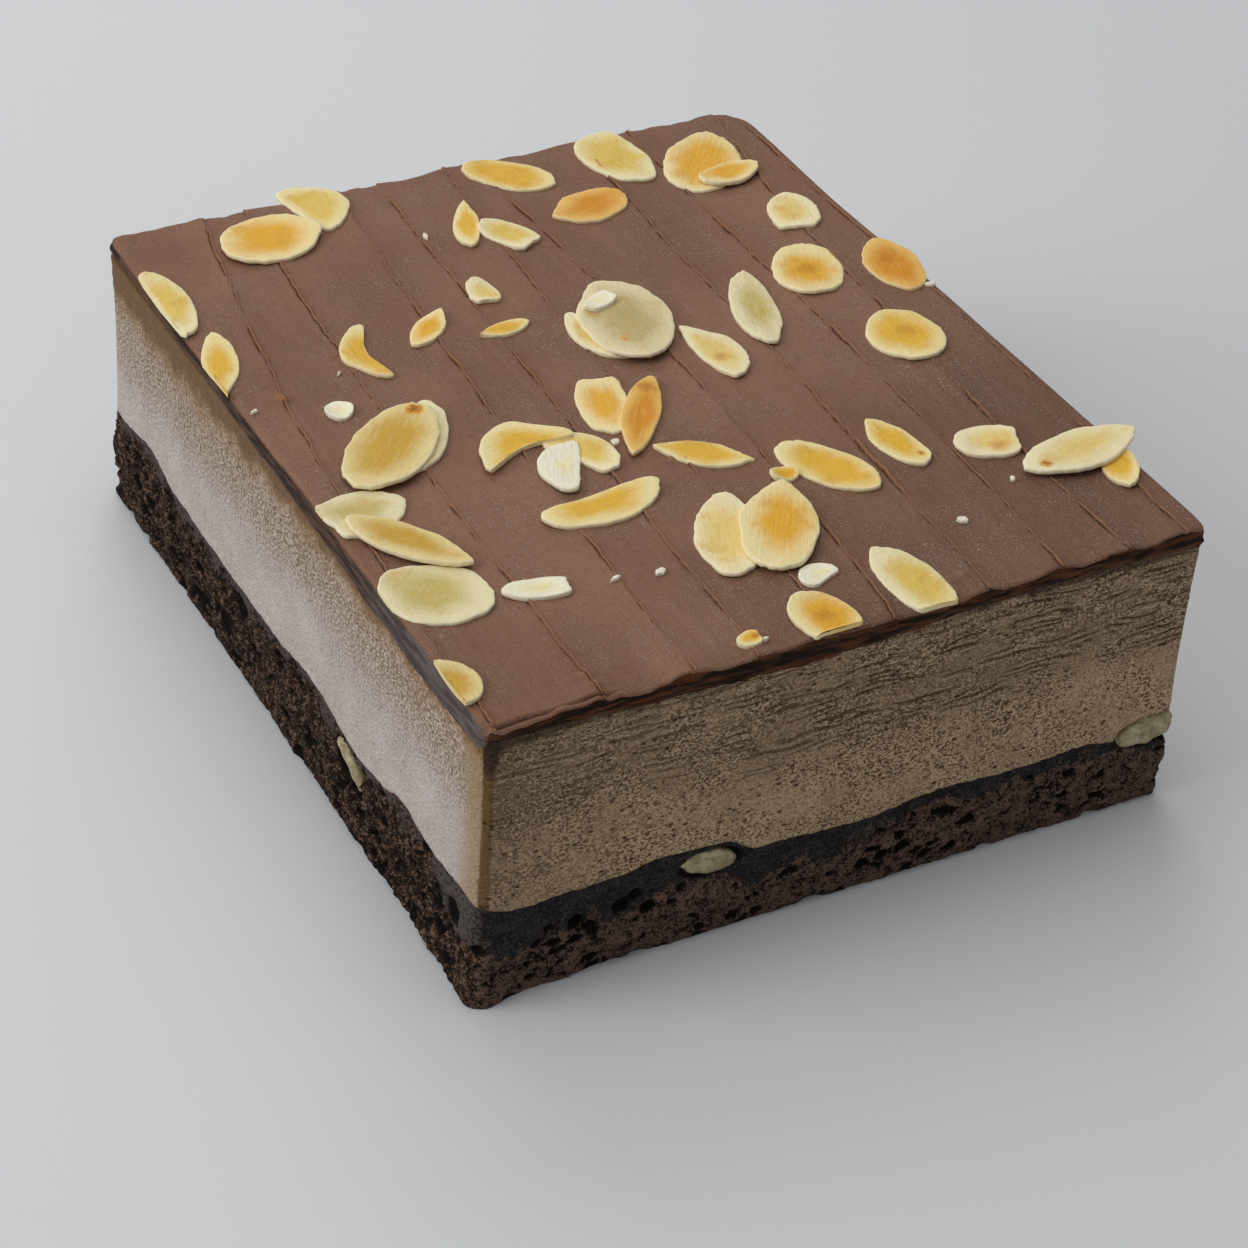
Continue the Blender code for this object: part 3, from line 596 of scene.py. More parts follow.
# Curls and lumps left along the seams: x, y, radius and height
LUMPS = ((-57, 16.6, 1, 0.7), (-43.3, 27, 0.9, 0.6), (-45.5, -72.6, 0.9, 0.45), (-45.2, -75.3, 0.7, 0.4),
         (-5.9, -25.9, 0.8, 0.6), (-6.6, -29.6, 0.8, 0.6), (22.9, -64.2, 0.7, 0.55), (20.7, -73.4, 0.8, 0.6),
         (-14.5, -55.5, 0.6, 0.4), (-60.2, 57, 0.8, 0.6), (-57.8, 22, 0.6, 0.4), (-27.5, 40.5, 0.6, 0.4))
ROW_STEP = 0.66
BAND_LEVELS = 10
seam_curves = [np.polyfit(SEAM_ROWS, places, 2) for places in SEAMS]


def along_seams(y, *layers):
    """The sum of layers of noise along each seam at depths y: its last axis is the seam."""
    total = 0
    for strength, size, shift in layers:
        seams = [flat(y, 50 * i + shift) for i in range(len(SEAMS))]
        total = total + strength * blotches(np.stack(seams, -2), size)
    return total


def seams_at(y):
    """X of the left side, of each seam and of the right side, at depths y, along the last axis."""
    inner = np.stack([np.polyval(curve, y) for curve in seam_curves], -1)
    inner = inner + along_seams(y, (0.5, 9, 0), (0.22, 2.3, 9), (0.12, 0.9, 17))
    inner = np.clip(inner, SEAM_MARGIN - WIDTH / 2, WIDTH / 2 - SEAM_MARGIN)
    side = np.full(y.shape + (1,), WIDTH / 2)
    return np.concatenate([-side, inner, side], -1)


def picked(values, place):
    """What each last axis of values holds at its own place."""
    return np.take_along_axis(values, place[..., None], -1)[..., 0]


def spread_height(x, y):
    """Height of the chocolate at (x, y), then how much of a lip and of a crease is there, from 0 to 1."""
    edges = seams_at(y)
    stroke = np.clip((x[..., None] > edges[..., 1:-1] + 1e-6).sum(-1), 0, len(SEAMS))
    low, high = picked(edges, stroke), picked(edges, stroke + 1)
    width = high - low
    share = np.clip((x - low) / width, 0, 1)
    points = flat(x, y)
    drop = STROKE_HOLLOW * np.minimum(1.2, width / STROKE_WIDTH) * 4 * share * (1 - share)
    height = seam_top(x, y) - drop - 0.2 * np.sin(y / 14 + width)
    rim_weight = np.exp(-(np.maximum(y + DEPTH / 2, 0) / RIM_REACH) ** 1.3)
    height = height + (eased(FRONT_RIM, x) + 0.25 * blotches(points, 1.6, 44) - height) * rim_weight
    from_back = np.maximum(DEPTH / 2 - y, 0)
    height = height + 0.55 * np.exp(-from_back / 1.6) * blotches(points, 3.2, 52)
    strength = np.clip(0.65 + along_seams(y, (0.9, 10, 25), (0.8, 2.6, 31), (0.6, 1, 38)), 0.1, 1.3)
    on_left = picked(strength, np.clip(stroke - 1, 0, None)) * (stroke > 0)
    on_right = picked(strength, np.clip(stroke, None, len(SEAMS) - 1)) * (stroke < len(SEAMS))
    # The lip also carries a warm line, partly its own colour and partly a painted highlight; the crease
    # carries a painted shadow
    lip = on_left * np.exp(-(((x - low) - 0.2) / 0.2) ** 2)
    crease = on_right * np.exp(-((high - x) / 0.22) ** 2)
    lump = x * 0
    for lump_x, lump_y, radius, tall in LUMPS:
        away = np.hypot(x - lump_x + 0.3 * (y - lump_y), 0.6 * (y - lump_y)) / radius
        away = away * (1 + 0.5 * blotches(points, 0.9, lump_x))
        lump = np.maximum(lump, tall * smooth(away, 1, 0.5))
    height = height + 0.28 * lip - 0.2 * crease + lump + 0.12 * on_left * np.exp(-(x - low) / 1.2)
    height = height + 0.018 * blotches(points / (1.3, 26, 1), 1, 12) + 0.05 * blotches(points, 6, 90)
    return height, np.clip(lip + lump, 0, 1), crease


def across_stroke(width):
    """Places across a stroke, closer together by its seams."""
    near = np.array((0, 0.1, 0.2, 0.3, 0.42, 0.58, 0.8, 1.2)) * min(1, width / 6)
    far = np.array((0.95, 0.5, 0.26, 0.12)) * min(1, width / 6)
    inner = np.linspace(near[-1], width - far[0], 9)[1:-1]
    return np.concatenate([near, inner, width - far])


PLACES_ACROSS = len(across_stroke(STROKE_WIDTH))
rim_steps = np.array((0, 0.15, 0.35, 0.6, 0.85, 1, 1.15, 1.3, 1.6, 2.1))
inner_rows = np.linspace(-DEPTH / 2 + rim_steps[-1], DEPTH / 2 - rim_steps[-1], round(DEPTH / ROW_STEP))[1:-1]
rows = np.concatenate([rim_steps - DEPTH / 2, inner_rows, DEPTH / 2 - rim_steps[::-1]])
top_x = []
for row_edges in seams_at(rows):
    placed = [low + across_stroke(high - low) for low, high in zip(row_edges, row_edges[1:])]
    top_x.append(np.append(np.concatenate(placed), row_edges[-1]))
top_x = np.array(top_x)
top_y = np.repeat(rows[:, None], top_x.shape[1], 1)
top_z, top_lip_and_highlight, top_crease_and_shadow = spread_height(top_x, top_y)
across = flat(top_x, 0)
from_front = top_y + DEPTH / 2
folded = np.zeros_like(top_x)
for start, end in FOLDS:
    folded = np.maximum(folded, smooth(top_x, start, start + 2) * smooth(top_x, end, end - 2))
crack_place = 1.05 + 0.3 * blotches(across, 3, 5)
crack = folded * np.exp(-((from_front - crack_place) / 0.16) ** 2)
top_z -= 0.45 * folded * smooth(from_front, crack_place, crack_place - 0.2) + 0.9 * crack
# The rim's cracks take the creases' painted shadow
top_crease_and_shadow = np.maximum(top_crease_and_shadow, crack)
# Each side's blunt edge: distance from it, how far in it begins to fall, and by how much
SHOULDERS = ((from_front, 0.35, 0.2), (DEPTH / 2 - top_y, 0.8, 0.4), (top_x + WIDTH / 2, 1.5, 0.8),
             (WIDTH / 2 - top_x, 0.8, 0.4))
shoulder = np.zeros_like(top_z)
for away, reach, fall in SHOULDERS:
    shoulder = np.maximum(shoulder, fall * np.clip(1 - away / reach, 0, 1) ** 2)
top_z -= shoulder
plan_x, plan_y = rounded(top_x, top_y)
top_points = np.stack([plan_x, plan_y, top_z], -1)
row_count, column_count = top_z.shape
index = np.arange(row_count * column_count).reshape(row_count, column_count)
loop = np.concatenate([index[0, :-1], index[:-1, -1], index[-1, :0:-1], index[:0:-1, 0]])
plan_rim = top_points.reshape(-1, 3)[loop]
rim_out = outward_of(plan_rim)
# The front and back rims are chipped: their rows move in and out
chipped = noises(across, (0.35, 2.6, 61), (0.22, 0.9, 66)) - 0.1
top_points[..., 1] -= chipped * np.clip(1 - from_front / 2, 0, 1)
top_points[..., 1] += chipped * np.clip(1 - (DEPTH / 2 - top_y) / 2, 0, 1)
rim = top_points.reshape(-1, 3)[loop]
corners = (index[:-1, :-1], index[:-1, 1:], index[1:, 1:], index[1:, :-1])
faces = list(zip(*(corner.ravel() for corner in corners)))
band_front = smooth(-rim_out[:, 1], 0.5, 0.9)
band_left = smooth(-rim_out[:, 0], 0.5, 0.9)
level_foot = mousse_top(rim[:, 0], rim[:, 1]) - 0.35
band_foot = level_foot + (eased(FRONT_FOOT, rim[:, 0]) - level_foot) * band_front
band_foot += (eased(LEFT_FOOT, rim[:, 1]) - level_foot) * band_left
band_foot += noises(rim, (0.35, 4, 3), (0.25, 1.2, 8))
band_share = np.linspace(0, 1, BAND_LEVELS + 1)[1:, None]
band_z = rim[:, 2][None] + (band_foot - rim[:, 2])[None] * band_share
drawn = plan_rim[None, :, :2] + (rim - plan_rim)[None, :, :2] * (1 - band_share[..., None]) ** 0.7
band_flat = np.concatenate([drawn, band_z[..., None]], 2)
strips = blotches(band_flat / (5, 5, 0.65), 1, 5)
band_offsets = 0.1 + 0.15 * np.sin(math.pi * band_share * 0.9) + 0.34 * strips
band_offsets = (band_offsets + 0.26 * blotches(band_flat, 1.2, 6)) * (0.3 + 0.7 * band_front)
band_offsets = np.maximum(band_offsets, 0.06) + 0.12 * band_left * np.sin(math.pi * band_share)
band_offsets += 0.1 * strips * band_left
band_offsets[-1] = -0.3
band = band_flat.copy()
band[..., :2] += rim_out[None] * band_offsets[..., None]
start = top_z.size
under = drawn_in(plan_rim, (0.97, 0.6), mousse_top)
middle = (0, 0, mousse_top(0, 0))
points = np.concatenate([top_points.reshape(-1, 3), band.reshape(-1, 3), *under, [middle]])
levels = [loop] + numbered(start, len(loop), BAND_LEVELS + len(under))
faces += sleeves(levels[::-1]) + fan(levels[-1][::-1], len(points) - 1)
rest = len(points) - start


def with_side(values, side_value):
    """Values of the top, continued over the cut sides."""
    return np.concatenate([values.ravel(), np.full(rest, side_value)])


stroke_number = np.minimum(np.arange(column_count) // PLACES_ACROSS, len(SEAMS))
# Painted shade and sheen: the top is darker towards the right front, and each stroke is a little lighter or
# darker than the next
shade = smooth(top_x - top_y, 15, 105) + 0.12 * np.sin(2.3 * stroke_number)
values = {
    "shade": with_side(shade, 0),
    "side": with_side(np.clip(shoulder * 1.4, 0, 1) ** 1.5 * smooth(from_front, 0.5, 2), 1),
    "lip": with_side(top_lip_and_highlight, 0),
    "crease": with_side(top_crease_and_shadow, 0),
    # The left edge, greyer towards the front for the left cut side's painted sheen
    "left": with_side(smooth(top_x, 3 - WIDTH / 2, -WIDTH / 2) * (0.5 + 0.5 * smooth(top_y, -22, -58)), 0),
}
# The left cut side is greyer towards the front: a painted sheen
sheen_towards_front = 0.5 + 0.5 * smooth(rim[:, 1], -22, -58)
values["left"][start:start + band_z.size] = np.tile(band_left * sheen_towards_front, BAND_LEVELS)

chocolate = Finish("spread milk chocolate")
left_side_and_sheen = chocolate.value_of("left")
cloud = chocolate.grain(22, 3, (1, 1.8, 1))
streaks = chocolate.grain(1.1, 2, (1, 26, 1))
fine = chocolate.grain(0.3)
knife_lines = chocolate.grain(0.7, 1, (1, 60, 1)).rise(0.68, 0.76) * cloud.rise(0.45, 0.6)
frost = chocolate.grain(0.28, 1).rise(0.56, 0.68) * (0.15 + 0.85 * chocolate.grain(15, 3).rise(0.42, 0.58))
smear = chocolate.grain(0.7, 3, (9, 9, 1))
left_smear = smear.rise(0.4, 0.62)
# The cut side: the front, nearly black, partly dark chocolate and partly painted shade; then the left, and
# the greyer part of the left, a painted sheen
cut_side = chocolate.over(
    (0.013, 0.004, 0.001),
    (smear.rise(0.42, 0.66), (0.11, 0.036, 0.0105)),
    (left_side_and_sheen.rise(0.15, 0.45), chocolate.mix(left_smear, (0.03, 0.015, 0.009), (0.105, 0.057, 0.037))),
    (left_side_and_sheen.rise(0.5, 0.95), chocolate.mix(left_smear, (0.062, 0.045, 0.04), (0.135, 0.102, 0.092))),
)
milk = chocolate.over(
    (0.198, 0.093, 0.052),
    (cloud.rise(0.35, 0.65), (0.265, 0.133, 0.077)),
    # Painted shade and sheen over the top
    (chocolate.value_of("shade") * 0.52, (0.1, 0.045, 0.026)),
    (streaks.rise(0.45, 0.7) * 0.15, (0.31, 0.175, 0.12)),
    (chocolate.grain(1.1).rise(0.5, 0.3) * 0.3, (0.13, 0.06, 0.034)),
    (knife_lines * 0.22, (0.42, 0.29, 0.22)),
    (fine.rise(0.38, 0.66) * 0.35, (0.31, 0.18, 0.125)),
    # The lips' warm line, partly own colour and partly painted highlight, then the painted shadow of creases
    # and cracks
    (chocolate.value_of("lip").rise(0.15, 0.7) * 0.8, (0.33, 0.148, 0.062)),
    (chocolate.value_of("crease").rise(0.25, 0.85) * 0.75, (0.04, 0.016, 0.008)),
    (frost * 0.6, (0.54, 0.41, 0.33)),
    (chocolate.value_of("side").rise(0.2, 0.85), cut_side),
)
chocolate.dress(milk, 0.55 + 0.12 * cloud, streaks * 0.2 + fine * 0.4 + frost * 0.8, 0.14)
add_piece("spread_chocolate", points, faces, chocolate, "topping", ["chocolate_topping"], values)

# ----------------------------------------------------------
# The almonds: toasted slices strewn on the chocolate while it was soft, a thin plate each, a little cupped,
# cream at the rim and golden in the middle; some are browner, some broken or cut through at a side of the
# slab, some lie on others.

ALMOND_THICKNESS = 1.05
ALMOND_SINK = 0.5
ALMOND_SIDES = 12
ALMOND_COVER = 0.25
LEFT_CUT = -WIDTH / 2 - 0.15
FRONT_CUT = -DEPTH / 2 - 0.25
WHOLE = (0.35, 0, 0, 0, 0)
ROUND = (0.1, 0, 0, 0, 0)
EGG = (0.8, 0, 0, 0, 0)
DROP = (1.3, 0, 0, 0, 0.1)
COMMA = (1.4, 0, 0, 0, -0.5)
LENS = (0.9, 0.9, 0, 0, 0)
HALF = (0.3, 0.3, 0.7, 0, 0)
MOON = (-0.4, -0.3, 0, 0, -1.5)
HOOK = (0.2, 0, 0, 0, 1.5)
BROKEN = (0.2, 0.2, 0.15, 0.35, 0)
STUMP = (0, 0.1, 0, 0.2, 0)
SHARD = (0.9, 0, 0.6, 0.1, 0)

# The heart's colour and how far out it reaches, as a share of the slice, then the rim's colour
GOLD = ((0.82, 0.48, 0.045), 0.95, (0.92, 0.77, 0.38))
AMBER = ((0.83, 0.43, 0.03), 0.88, (0.92, 0.76, 0.38))
TOASTED = ((0.7, 0.28, 0.01), 0.9, (0.86, 0.54, 0.14))
CREAM = ((0.85, 0.63, 0.21), 0.85, (0.92, 0.81, 0.5))
PALE = ((0.62, 0.49, 0.16), 0.85, (0.86, 0.76, 0.46))
OLIVE = ((0.53, 0.41, 0.17), 0.9, (0.82, 0.7, 0.42))
DULL = ((0.62, 0.37, 0.045), 0.9, (0.84, 0.68, 0.32))
WHITE = ((0.93, 0.82, 0.46), 0.6, (0.93, 0.87, 0.66))
YELLOW = ((0.8, 0.56, 0.12), 0.92, (0.92, 0.81, 0.48))

# Brown spots on a slice, by its number: how far along it and across it, as shares, radius in mm and depth
SPOTS = {12: (0.84, 0, 1.5, 0.9), 19: (-0.5, 0.3, 1, 0.6), 22: (-0.3, 0.3, 1.6, 0.35),
         24: (-0.7, 0, 2.2, 0.5), 31: (0, 0, 2.4, 0.3), 32: (0.2, 0.1, 2.2, 0.35),
         33: (0.1, -0.1, 2.4, 0.25), 34: (-0.65, -0.3, 0.8, 0.7), 35: (0.3, -0.4, 1.5, 0.3),
         37: (-0.7, -0.2, 1.1, 0.8), 44: (0.1, 0, 2.2, 0.35), 45: (0.6, 0, 0.9, 0.6)}
NO_SPOT = (0, 0, 1, 0)

# x, y, length, width, heading, shape, lift and colouring
ALMONDS = (
    (-38.3, 65.9, 19, 15, 10, ROUND, 0.3, AMBER), (-25.2, 74, 16.5, 10, -78, HALF, 0, YELLOW),
    (-62.5, 51.5, 22, 6.5, -93, SHARD, 0, YELLOW), (-62.6, 30.2, 22, 6.2, -109, DROP, 0, GOLD),
    (-39.3, 24.9, 17.2, 6.8, -97, MOON, 0, GOLD), (-25, 27.3, 12.3, 5.2, 44, EGG, 0, AMBER),
    (-3.7, 57.2, 15.5, 4.8, 69, DROP, 0, GOLD), (2, 51.7, 11.5, 7.5, -62, BROKEN, 0, YELLOW),
    (-11.1, 35.2, 7.8, 5.6, -95, BROKEN, 0, CREAM), (-13, 22.3, 10.3, 4, 192, DROP, 0, GOLD),
    (-49.6, 9.9, 4.8, 5.4, 0, ROUND, 0, WHITE), (-41.7, -3.4, 22, 10.5, 54, WHOLE, 0, CREAM),
    (-46.8, -5.2, 25.5, 13.5, 45, WHOLE, 1, DULL), (11.8, 71.1, 17.5, 10, -40, WHOLE, 0, GOLD),
    (33, 68.9, 19.5, 12, 96, STUMP, 0, YELLOW), (47.6, 61.6, 22, 14, 52, ROUND, 0, AMBER),
    (49.6, 55, 12.5, 7, 8, WHOLE, 1, AMBER), (20.2, 54.8, 15.5, 10.5, 192, WHOLE, 0, TOASTED),
    (-0.4, 13.2, 16.5, 5.5, 103, HALF, 0, YELLOW), (7.4, 15.4, 25, 16, 83, ROUND, 0.7, OLIVE),
    (4.9, 21.6, 6.6, 4, 20, BROKEN, 1.8, WHITE), (30.6, 11.1, 25, 8.4, 73, WHOLE, 0, PALE),
    (18, 1.6, 18, 8, 98, COMMA, 0, CREAM), (-8.5, -7, 16.7, 8.7, 72, BROKEN, 0, AMBER),
    (-4.3, -12.4, 24, 6.4, -124, WHOLE, 0, TOASTED), (-27.2, -11.3, 17.5, 9.5, 12, HOOK, 0.6, GOLD),
    (-17.2, -18, 14, 7.5, -60, SHARD, 0, YELLOW), (-23.9, -20.8, 14.4, 7, 64, HALF, 0.5, WHITE),
    (0, -26.7, 16.8, 6.8, -38, LENS, 0, GOLD), (-21.8, -34, 22, 8, 185, HALF, 0, GOLD),
    (53.9, 38.3, 12, 9.2, -108, BROKEN, 0, CREAM), (46.1, 19.1, 17, 12.7, 66, ROUND, 0, AMBER),
    (61.2, 14.2, 17.5, 10, 84, ROUND, 0, TOASTED), (50.2, -7.9, 15.8, 13.1, 88, ROUND, 0, GOLD),
    (31.2, -36.7, 15.5, 6.8, 100, WHOLE, 0, GOLD), (45.2, -42.4, 10.8, 8.8, -20, BROKEN, 0, CREAM),
    (61.7, -58.2, 12, 6, -110, WHOLE, 0, GOLD), (57.6, -52.1, 22.5, 10, 4, EGG, 0.9, CREAM),
    (17.6, -37.9, 19.5, 10, -60, ROUND, 0, GOLD), (9.2, -37.2, 5, 4, 0, ROUND, 0, AMBER),
    (-7.6, -49.2, 22, 11, 68, ROUND, 0, CREAM), (0.6, -50.7, 24.3, 12.6, 58, WHOLE, 0.9, AMBER),
    (-0.1, -63.8, 7.3, 4.8, 26, SHARD, 0, WHITE), (13.3, -71.8, 19.5, 9.5, 97, WHOLE, 0, YELLOW),
    (-4.8, -74.4, 12, 9.5, -80, BROKEN, 0, AMBER), (-18.3, -74.8, 4, 3.5, 0, BROKEN, 0, GOLD),
    (-57.8, -19.3, 14.5, 11.5, 192, BROKEN, 0, PALE), (-55.1, -30.7, 22.5, 8, -54, EGG, 0.9, DULL),
    (-56.9, -44, 18.3, 16.3, -32, ROUND, 0, PALE), (-42.3, -49.6, 10.6, 5.6, -12, BROKEN, 0, WHITE),
    (-63.6, -66.8, 11, 6.5, -93, HALF, 0, DULL),
)
RIM_CORNERS = 60
# Rings of a slice from the middle of its top, over its rim and back to the middle of its underside:
# share of the way out, then height as a share of the thickness
SLICE_RINGS = ((0.15, 1), (0.3, 1), (0.45, 1), (0.6, 1), (0.72, 1), (0.82, 0.99), (0.9, 0.98),
               (0.95, 0.96), (0.98, 0.92), (1, 0.84), (1.005, 0.5), (1, 0.2), (0.96, 0.05), (0.5, 0))


def almond_corners(length, width, shape, draw):
    """Corners of a sliced almond seen from above, the tip towards +X, as long and as wide as given."""
    tip, tail, side_trim, end_trim, bend = shape
    corners = []
    for i in range(ALMOND_SIDES):
        turn = 2 * math.pi * (i + 0.5) / ALMOND_SIDES
        along = math.cos(turn)
        pointed = tip if along > 0 else tail
        across = math.copysign(abs(math.sin(turn)) ** (1 + pointed), math.sin(turn))
        across = max(across, side_trim - 1) + bend * (1 - along * along)
        rough = 1 + draw.uniform(-0.05, 0.05)
        corners.append(np.array((min(along, 1 - end_trim), across)) * rough)
    corners = np.array(corners)
    lows, highs = corners.min(0), corners.max(0)
    return ((corners - lows) / (highs - lows) - 0.5) * (length, width)


def rounded_outline(corners, count):
    """A closed curve through the corners, with count places."""
    total = len(corners)
    made = []
    for place in np.arange(count) * total / count:
        i = int(place)
        t = place - i
        a, b, c, d = (corners[(i + k) % total] for k in (-1, 0, 1, 2))
        made.append(0.5 * (2 * b + (c - a) * t + (2 * a - 5 * b + 4 * c - d) * t * t
                           + (3 * b - a - 3 * c + d) * t ** 3))
    return np.array(made)


def heights_at(places):
    """Heights of the chocolate at (x, y) places."""
    x, y = np.clip(places, (-WIDTH / 2, -DEPTH / 2), (WIDTH / 2, DEPTH / 2)).T
    return spread_height(x, y)[0]


points, faces = [], []
values = {}
turns = np.arange(RIM_CORNERS) * 2 * math.pi / RIM_CORNERS
for place, (x, y, length, width, heading, shape, lift, colouring) in enumerate(ALMONDS):
    draw = random.Random(100 + place)
    corners = almond_corners(length, width, shape, draw)
    cup = draw.uniform(0.2, 0.6)
    outline = rounded_outline(corners, RIM_CORNERS)
    nibbled = noises(flat(*outline.T), (0.03, 2.5, place), (0.035, 0.8, place))
    outline = outline * (1 + nibbled)[:, None]
    turned = Matrix.Rotation(math.radians(heading), 4, "Z")
    touching = np.vstack([corners * 0.8, corners * 0.4, (0, 0)])
    ground = heights_at(touching @ np.array(turned)[:2, :2].T + (x, y))
    plane = np.column_stack([touching, touching[:, 0] * 0 + 1])
    rise, tilt, height = np.linalg.lstsq(plane, ground, rcond=None)[0]
    highest = (ground - plane @ (rise, tilt, height)).max()
    height += max(highest - ALMOND_COVER, 0) + lift - ALMOND_SINK
    pitch = Matrix.Rotation(-math.atan(rise), 4, "Y")
    roll = Matrix.Rotation(math.atan(tilt), 4, "X")
    placed = Matrix.Translation((x, y, height)) @ turned @ pitch @ roll
    middle = corners.mean(0)
    slice_points = [np.array((*middle, ALMOND_THICKNESS * 0.97))]
    shares = [0]
    lean, lean_turn = draw.uniform(0.05, 0.2), draw.uniform(0, 2 * math.pi)
    leans = [0]
    for out, up in SLICE_RINGS:
        ring = middle + (outline - middle) * out
        bowed = cup * (ring[:, 0] / length * 2) ** 2
        dimple = 0.16 * blotches(flat(*ring.T), 4, place * 3)
        slice_points += list(np.column_stack([ring, bowed + ALMOND_THICKNESS * up + dimple]))
        shares += [out if up > 0.2 else 1] * RIM_CORNERS
        leans += list(lean * out * np.cos(turns - lean_turn))
    slice_points.append(np.array((*middle, 0)))
    shares.append(1)
    leans.append(0)
    start = len(points)
    cut_through = []
    for point in slice_points:
        laid = placed @ Vector(point)
        points.append((max(laid.x, LEFT_CUT), max(laid.y, FRONT_CUT), laid.z))
        cut_through.append(laid.x < LEFT_CUT or laid.y < FRONT_CUT)
    rings = numbered(start + 1, RIM_CORNERS, len(SLICE_RINGS))
    faces += sleeves(rings[::-1]) + fan(rings[0], start)
    faces += fan(rings[-1][::-1], len(points) - 1)
    heart, reach, rim_colour = colouring
    along, across, radius, depth = SPOTS.get(place, NO_SPOT)
    spot = np.array((along * length / 2, across * width / 2))
    carried = {
        "rim": [min(share, 0.8) if cut else share for share, cut in zip(shares, cut_through)],
        "reach": list(reach + draw.uniform(-0.08, 0.08) + np.array(leans)),
        "spot_away": [np.hypot(*(point[:2] - spot)) / radius for point in slice_points],
        "spot_depth": [depth] * len(slice_points),
        "on_slice": [(point[0] * MM + place, point[1] * MM, 0) for point in slice_points],
        "heart": [heart] * len(slice_points),
        "edge": [rim_colour] * len(slice_points),
    }
    for name, numbers in carried.items():
        values.setdefault(name, []).extend(numbers)

almond = Finish("toasted almond")
rim_share = almond.value_of("rim")
patch = almond.grain(5)
fibres = almond.grain(0.55, 2, (9, 1, 1), almond.value_of("on_slice", "Vector"))
fine = almond.grain(0.9)
inward = almond.value_of("reach") - rim_share + (patch - 0.5) * 0.5 + (fine - 0.5) * 0.12
spot_away = almond.value_of("spot_away") + (fine - 0.5) * 1.2
spot_depth = almond.value_of("spot_depth")
toasted = almond.over(
    almond.value_of("edge", "Color"),
    (inward.rise(-0.15, 0.55), almond.value_of("heart", "Color")),
    (patch.rise(0.54, 0.72) * inward.rise(0, 0.3) * 0.4, (0.68, 0.34, 0.03)),
    (fibres.rise(0.55, 0.7) * 0.12, (0.94, 0.84, 0.5)),
    (fibres.rise(0.45, 0.32) * inward.rise(-0.1, 0.3) * 0.16, (0.55, 0.3, 0.04)),
    # A paler line at the very rim: partly the almond's own pale edge, partly a painted highlight
    (rim_share.rise(0.95, 0.99) * 0.4, (0.95, 0.89, 0.7)),
    (spot_away.rise(1.5, 0.7) * spot_depth, (0.72, 0.34, 0.025)),
    (spot_away.rise(1, 0.3) * spot_depth, (0.38, 0.1, 0.005)),
)
almond.dress(toasted, 0.4 + 0.15 * fine, patch * 0.5 + fine * 0.35 + fibres * 0.25, 0.4)
add_piece("sliced_almonds", points, faces, almond, "topping", ["chocolate_topping"], values)

# ----------------------------------------------------------
# The crumbs: chips of almond that broke off and fell with the slices. Each is a small flat bit with hard
# edges, sunk a little into the chocolate, which holds it.

# x, y, length, width and heading
CRUMBS = ((-62.8, 15, 1.7, 0.9, 20), (-12.4, 55.9, 2.2, 1.1, 80), (-22, -53, 2.8, 1.7, 20),
          (-29.6, -52.3, 2.4, 1, 25), (29.3, -60.5, 2.3, 1.8, -30), (43.5, -53.5, 1.5, 1, 60),
          (-11.8, -17.5, 2, 1.5, 40), (63.5, 5.5, 2.4, 1.3, 0), (-15.7, -75.6, 1.4, 0.8, 10),
          (-45, 20.4, 1, 0.6, 50))
CRUMB_SIDES = 7
# Rings of a crumb from its top down: share of the way out, then height in mm
CRUMB_RINGS = ((0.6, 0.62), (0.92, 0.5), (1, 0.1), (0.7, -0.15))
points, faces = [], []
for place, (x, y, length, width, heading) in enumerate(CRUMBS):
    draw = random.Random(500 + place)
    turned = Matrix.Rotation(math.radians(heading), 3, "Z") @ Matrix.Rotation(draw.uniform(-0.2, 0.2), 3, "X")
    base_z = float(heights_at(np.array([[x, y]]))[0])
    start = len(points)
    turns = [2 * math.pi * (i + draw.uniform(-0.3, 0.3)) / CRUMB_SIDES for i in range(CRUMB_SIDES)]
    reaches = [draw.uniform(0.75, 1.1) for _ in turns]
    for out, up in CRUMB_RINGS:
        for turn, reach in zip(turns, reaches):
            reach_x, reach_y = length / 2 * reach * out, width / 2 * reach * out
            corner = Vector((reach_x * math.cos(turn), reach_y * math.sin(turn), up))
            points.append(tuple(turned @ corner + Vector((x, y, base_z))))
    rings = numbered(start, CRUMB_SIDES, len(CRUMB_RINGS))
    faces += sleeves(rings[::-1]) + [tuple(rings[0]), tuple(rings[-1][::-1])]
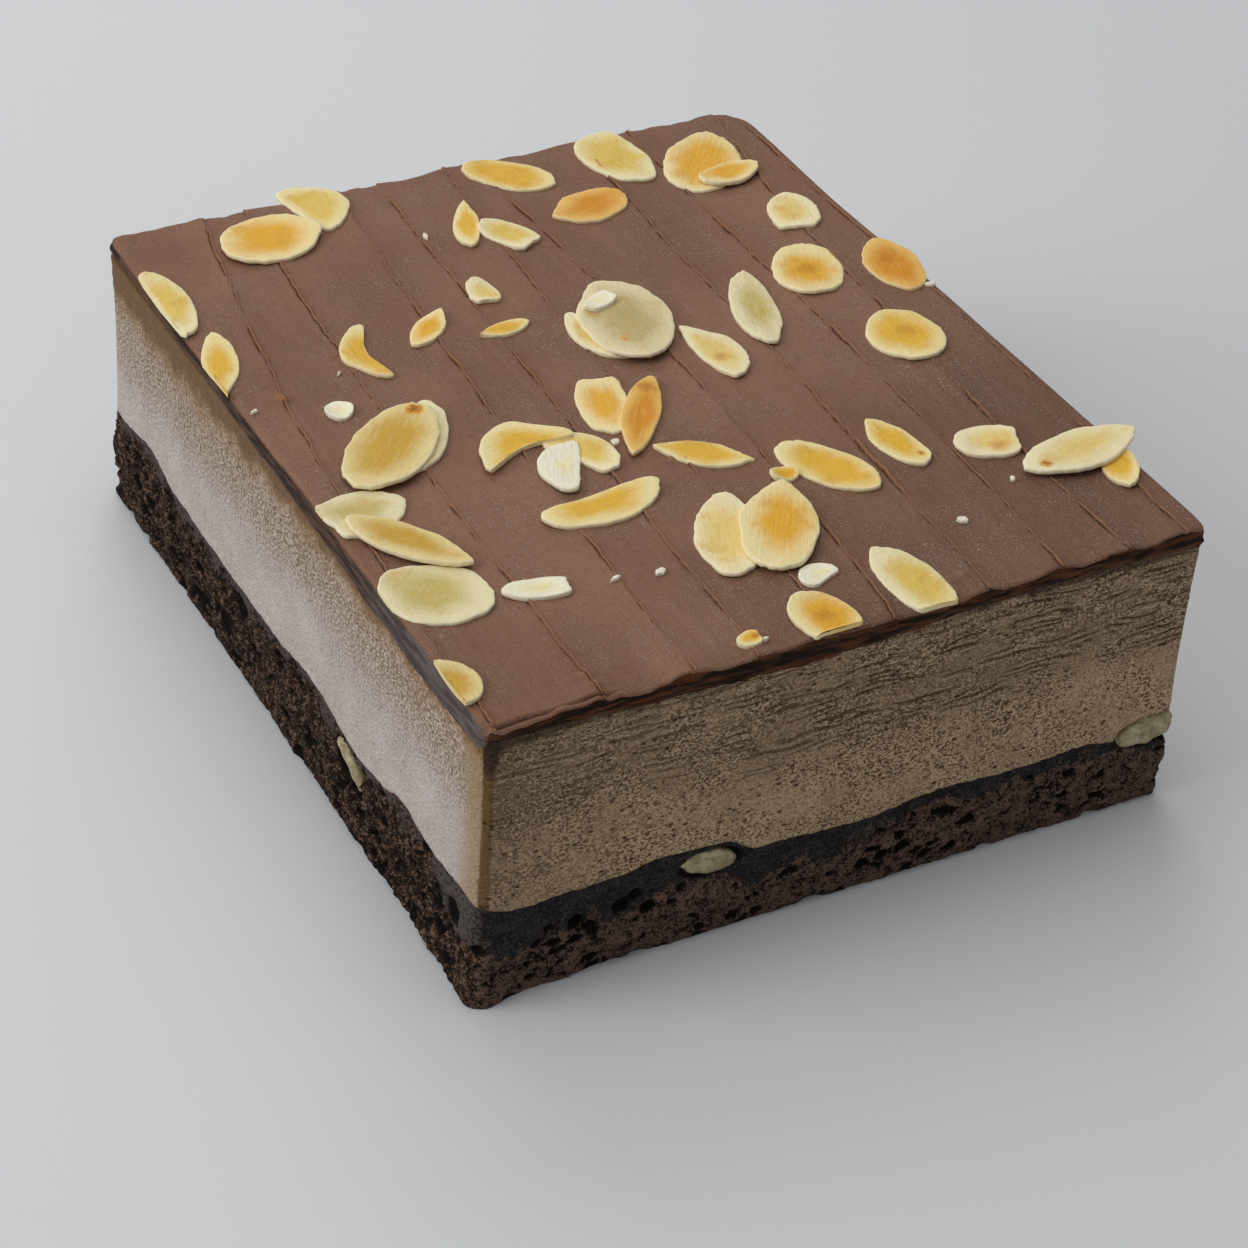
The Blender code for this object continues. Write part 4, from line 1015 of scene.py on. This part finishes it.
values = {
    "rim": [0.9] * len(points),
    "reach": [0] * len(points),
    "on_slice": [(point[0] * MM, point[1] * MM, 0) for point in points],
    "edge": [(0.86, 0.8, 0.64)] * len(points),
}
crumbs = add_piece("almond_crumbs", points, faces, almond, "topping", (), values)
crumbs.data.shade_flat()

# ----------------------------------------------------------
# The studio: a plain pale floor, soft lights and the camera at the photograph's angle.

bpy.ops.mesh.primitive_plane_add(size=8)
floor = bpy.context.object
floor.name = "floor"
floor_finish = Finish("pale floor")
paint = floor_finish.mix(floor_finish.grain(300).rise(0.3, 0.7), (0.7, 0.71, 0.72), (0.72, 0.73, 0.74))
floor_finish.fill(floor_finish.shader, {"Base Color": paint, "Roughness": 0.55})
floor.data.materials.append(floor_finish.material)

world = bpy.data.worlds.new("studio")
world.use_nodes = True
world.node_tree.nodes["Background"].inputs["Color"].default_value = (0.95, 0.97, 1, 1)
world.node_tree.nodes["Background"].inputs["Strength"].default_value = 0.32
scene.world = world

# Soft boxes: place and size in metres, power in watts
SOFT_BOXES = {
    "left": ((-0.95, 0.15, 0.6), 0.7, 5.2),
    "back": ((0.25, 1, 0.85), 0.9, 4),
    "above": ((-0.1, 0.1, 1.2), 0.9, 2.7),
}
for name, (place, size, power) in SOFT_BOXES.items():
    box = bpy.data.objects.new(name, bpy.data.lights.new(name, "AREA"))
    box.data.size = size
    box.data.energy = power
    box.location = place
    box.rotation_euler = (Vector((0, 0, 0.03)) - Vector(place)).to_track_quat("-Z", "Y").to_euler()
    scene.collection.objects.link(box)

camera = bpy.data.objects.new("camera", bpy.data.cameras.new("camera"))
camera.data.lens = 103.16
camera.data.clip_start = 0.01
facing = Matrix.Rotation(math.radians(-29.618), 4, "Z") @ Matrix.Rotation(math.radians(90 - 36.559), 4, "X")
rolled = Matrix.Rotation(math.radians(3.717), 4, "Z")
camera.matrix_world = Matrix.Translation((-0.253134, -0.448979, 0.384158)) @ facing @ rolled
scene.collection.objects.link(camera)
scene.camera = camera
scene.view_settings.view_transform = "Standard"
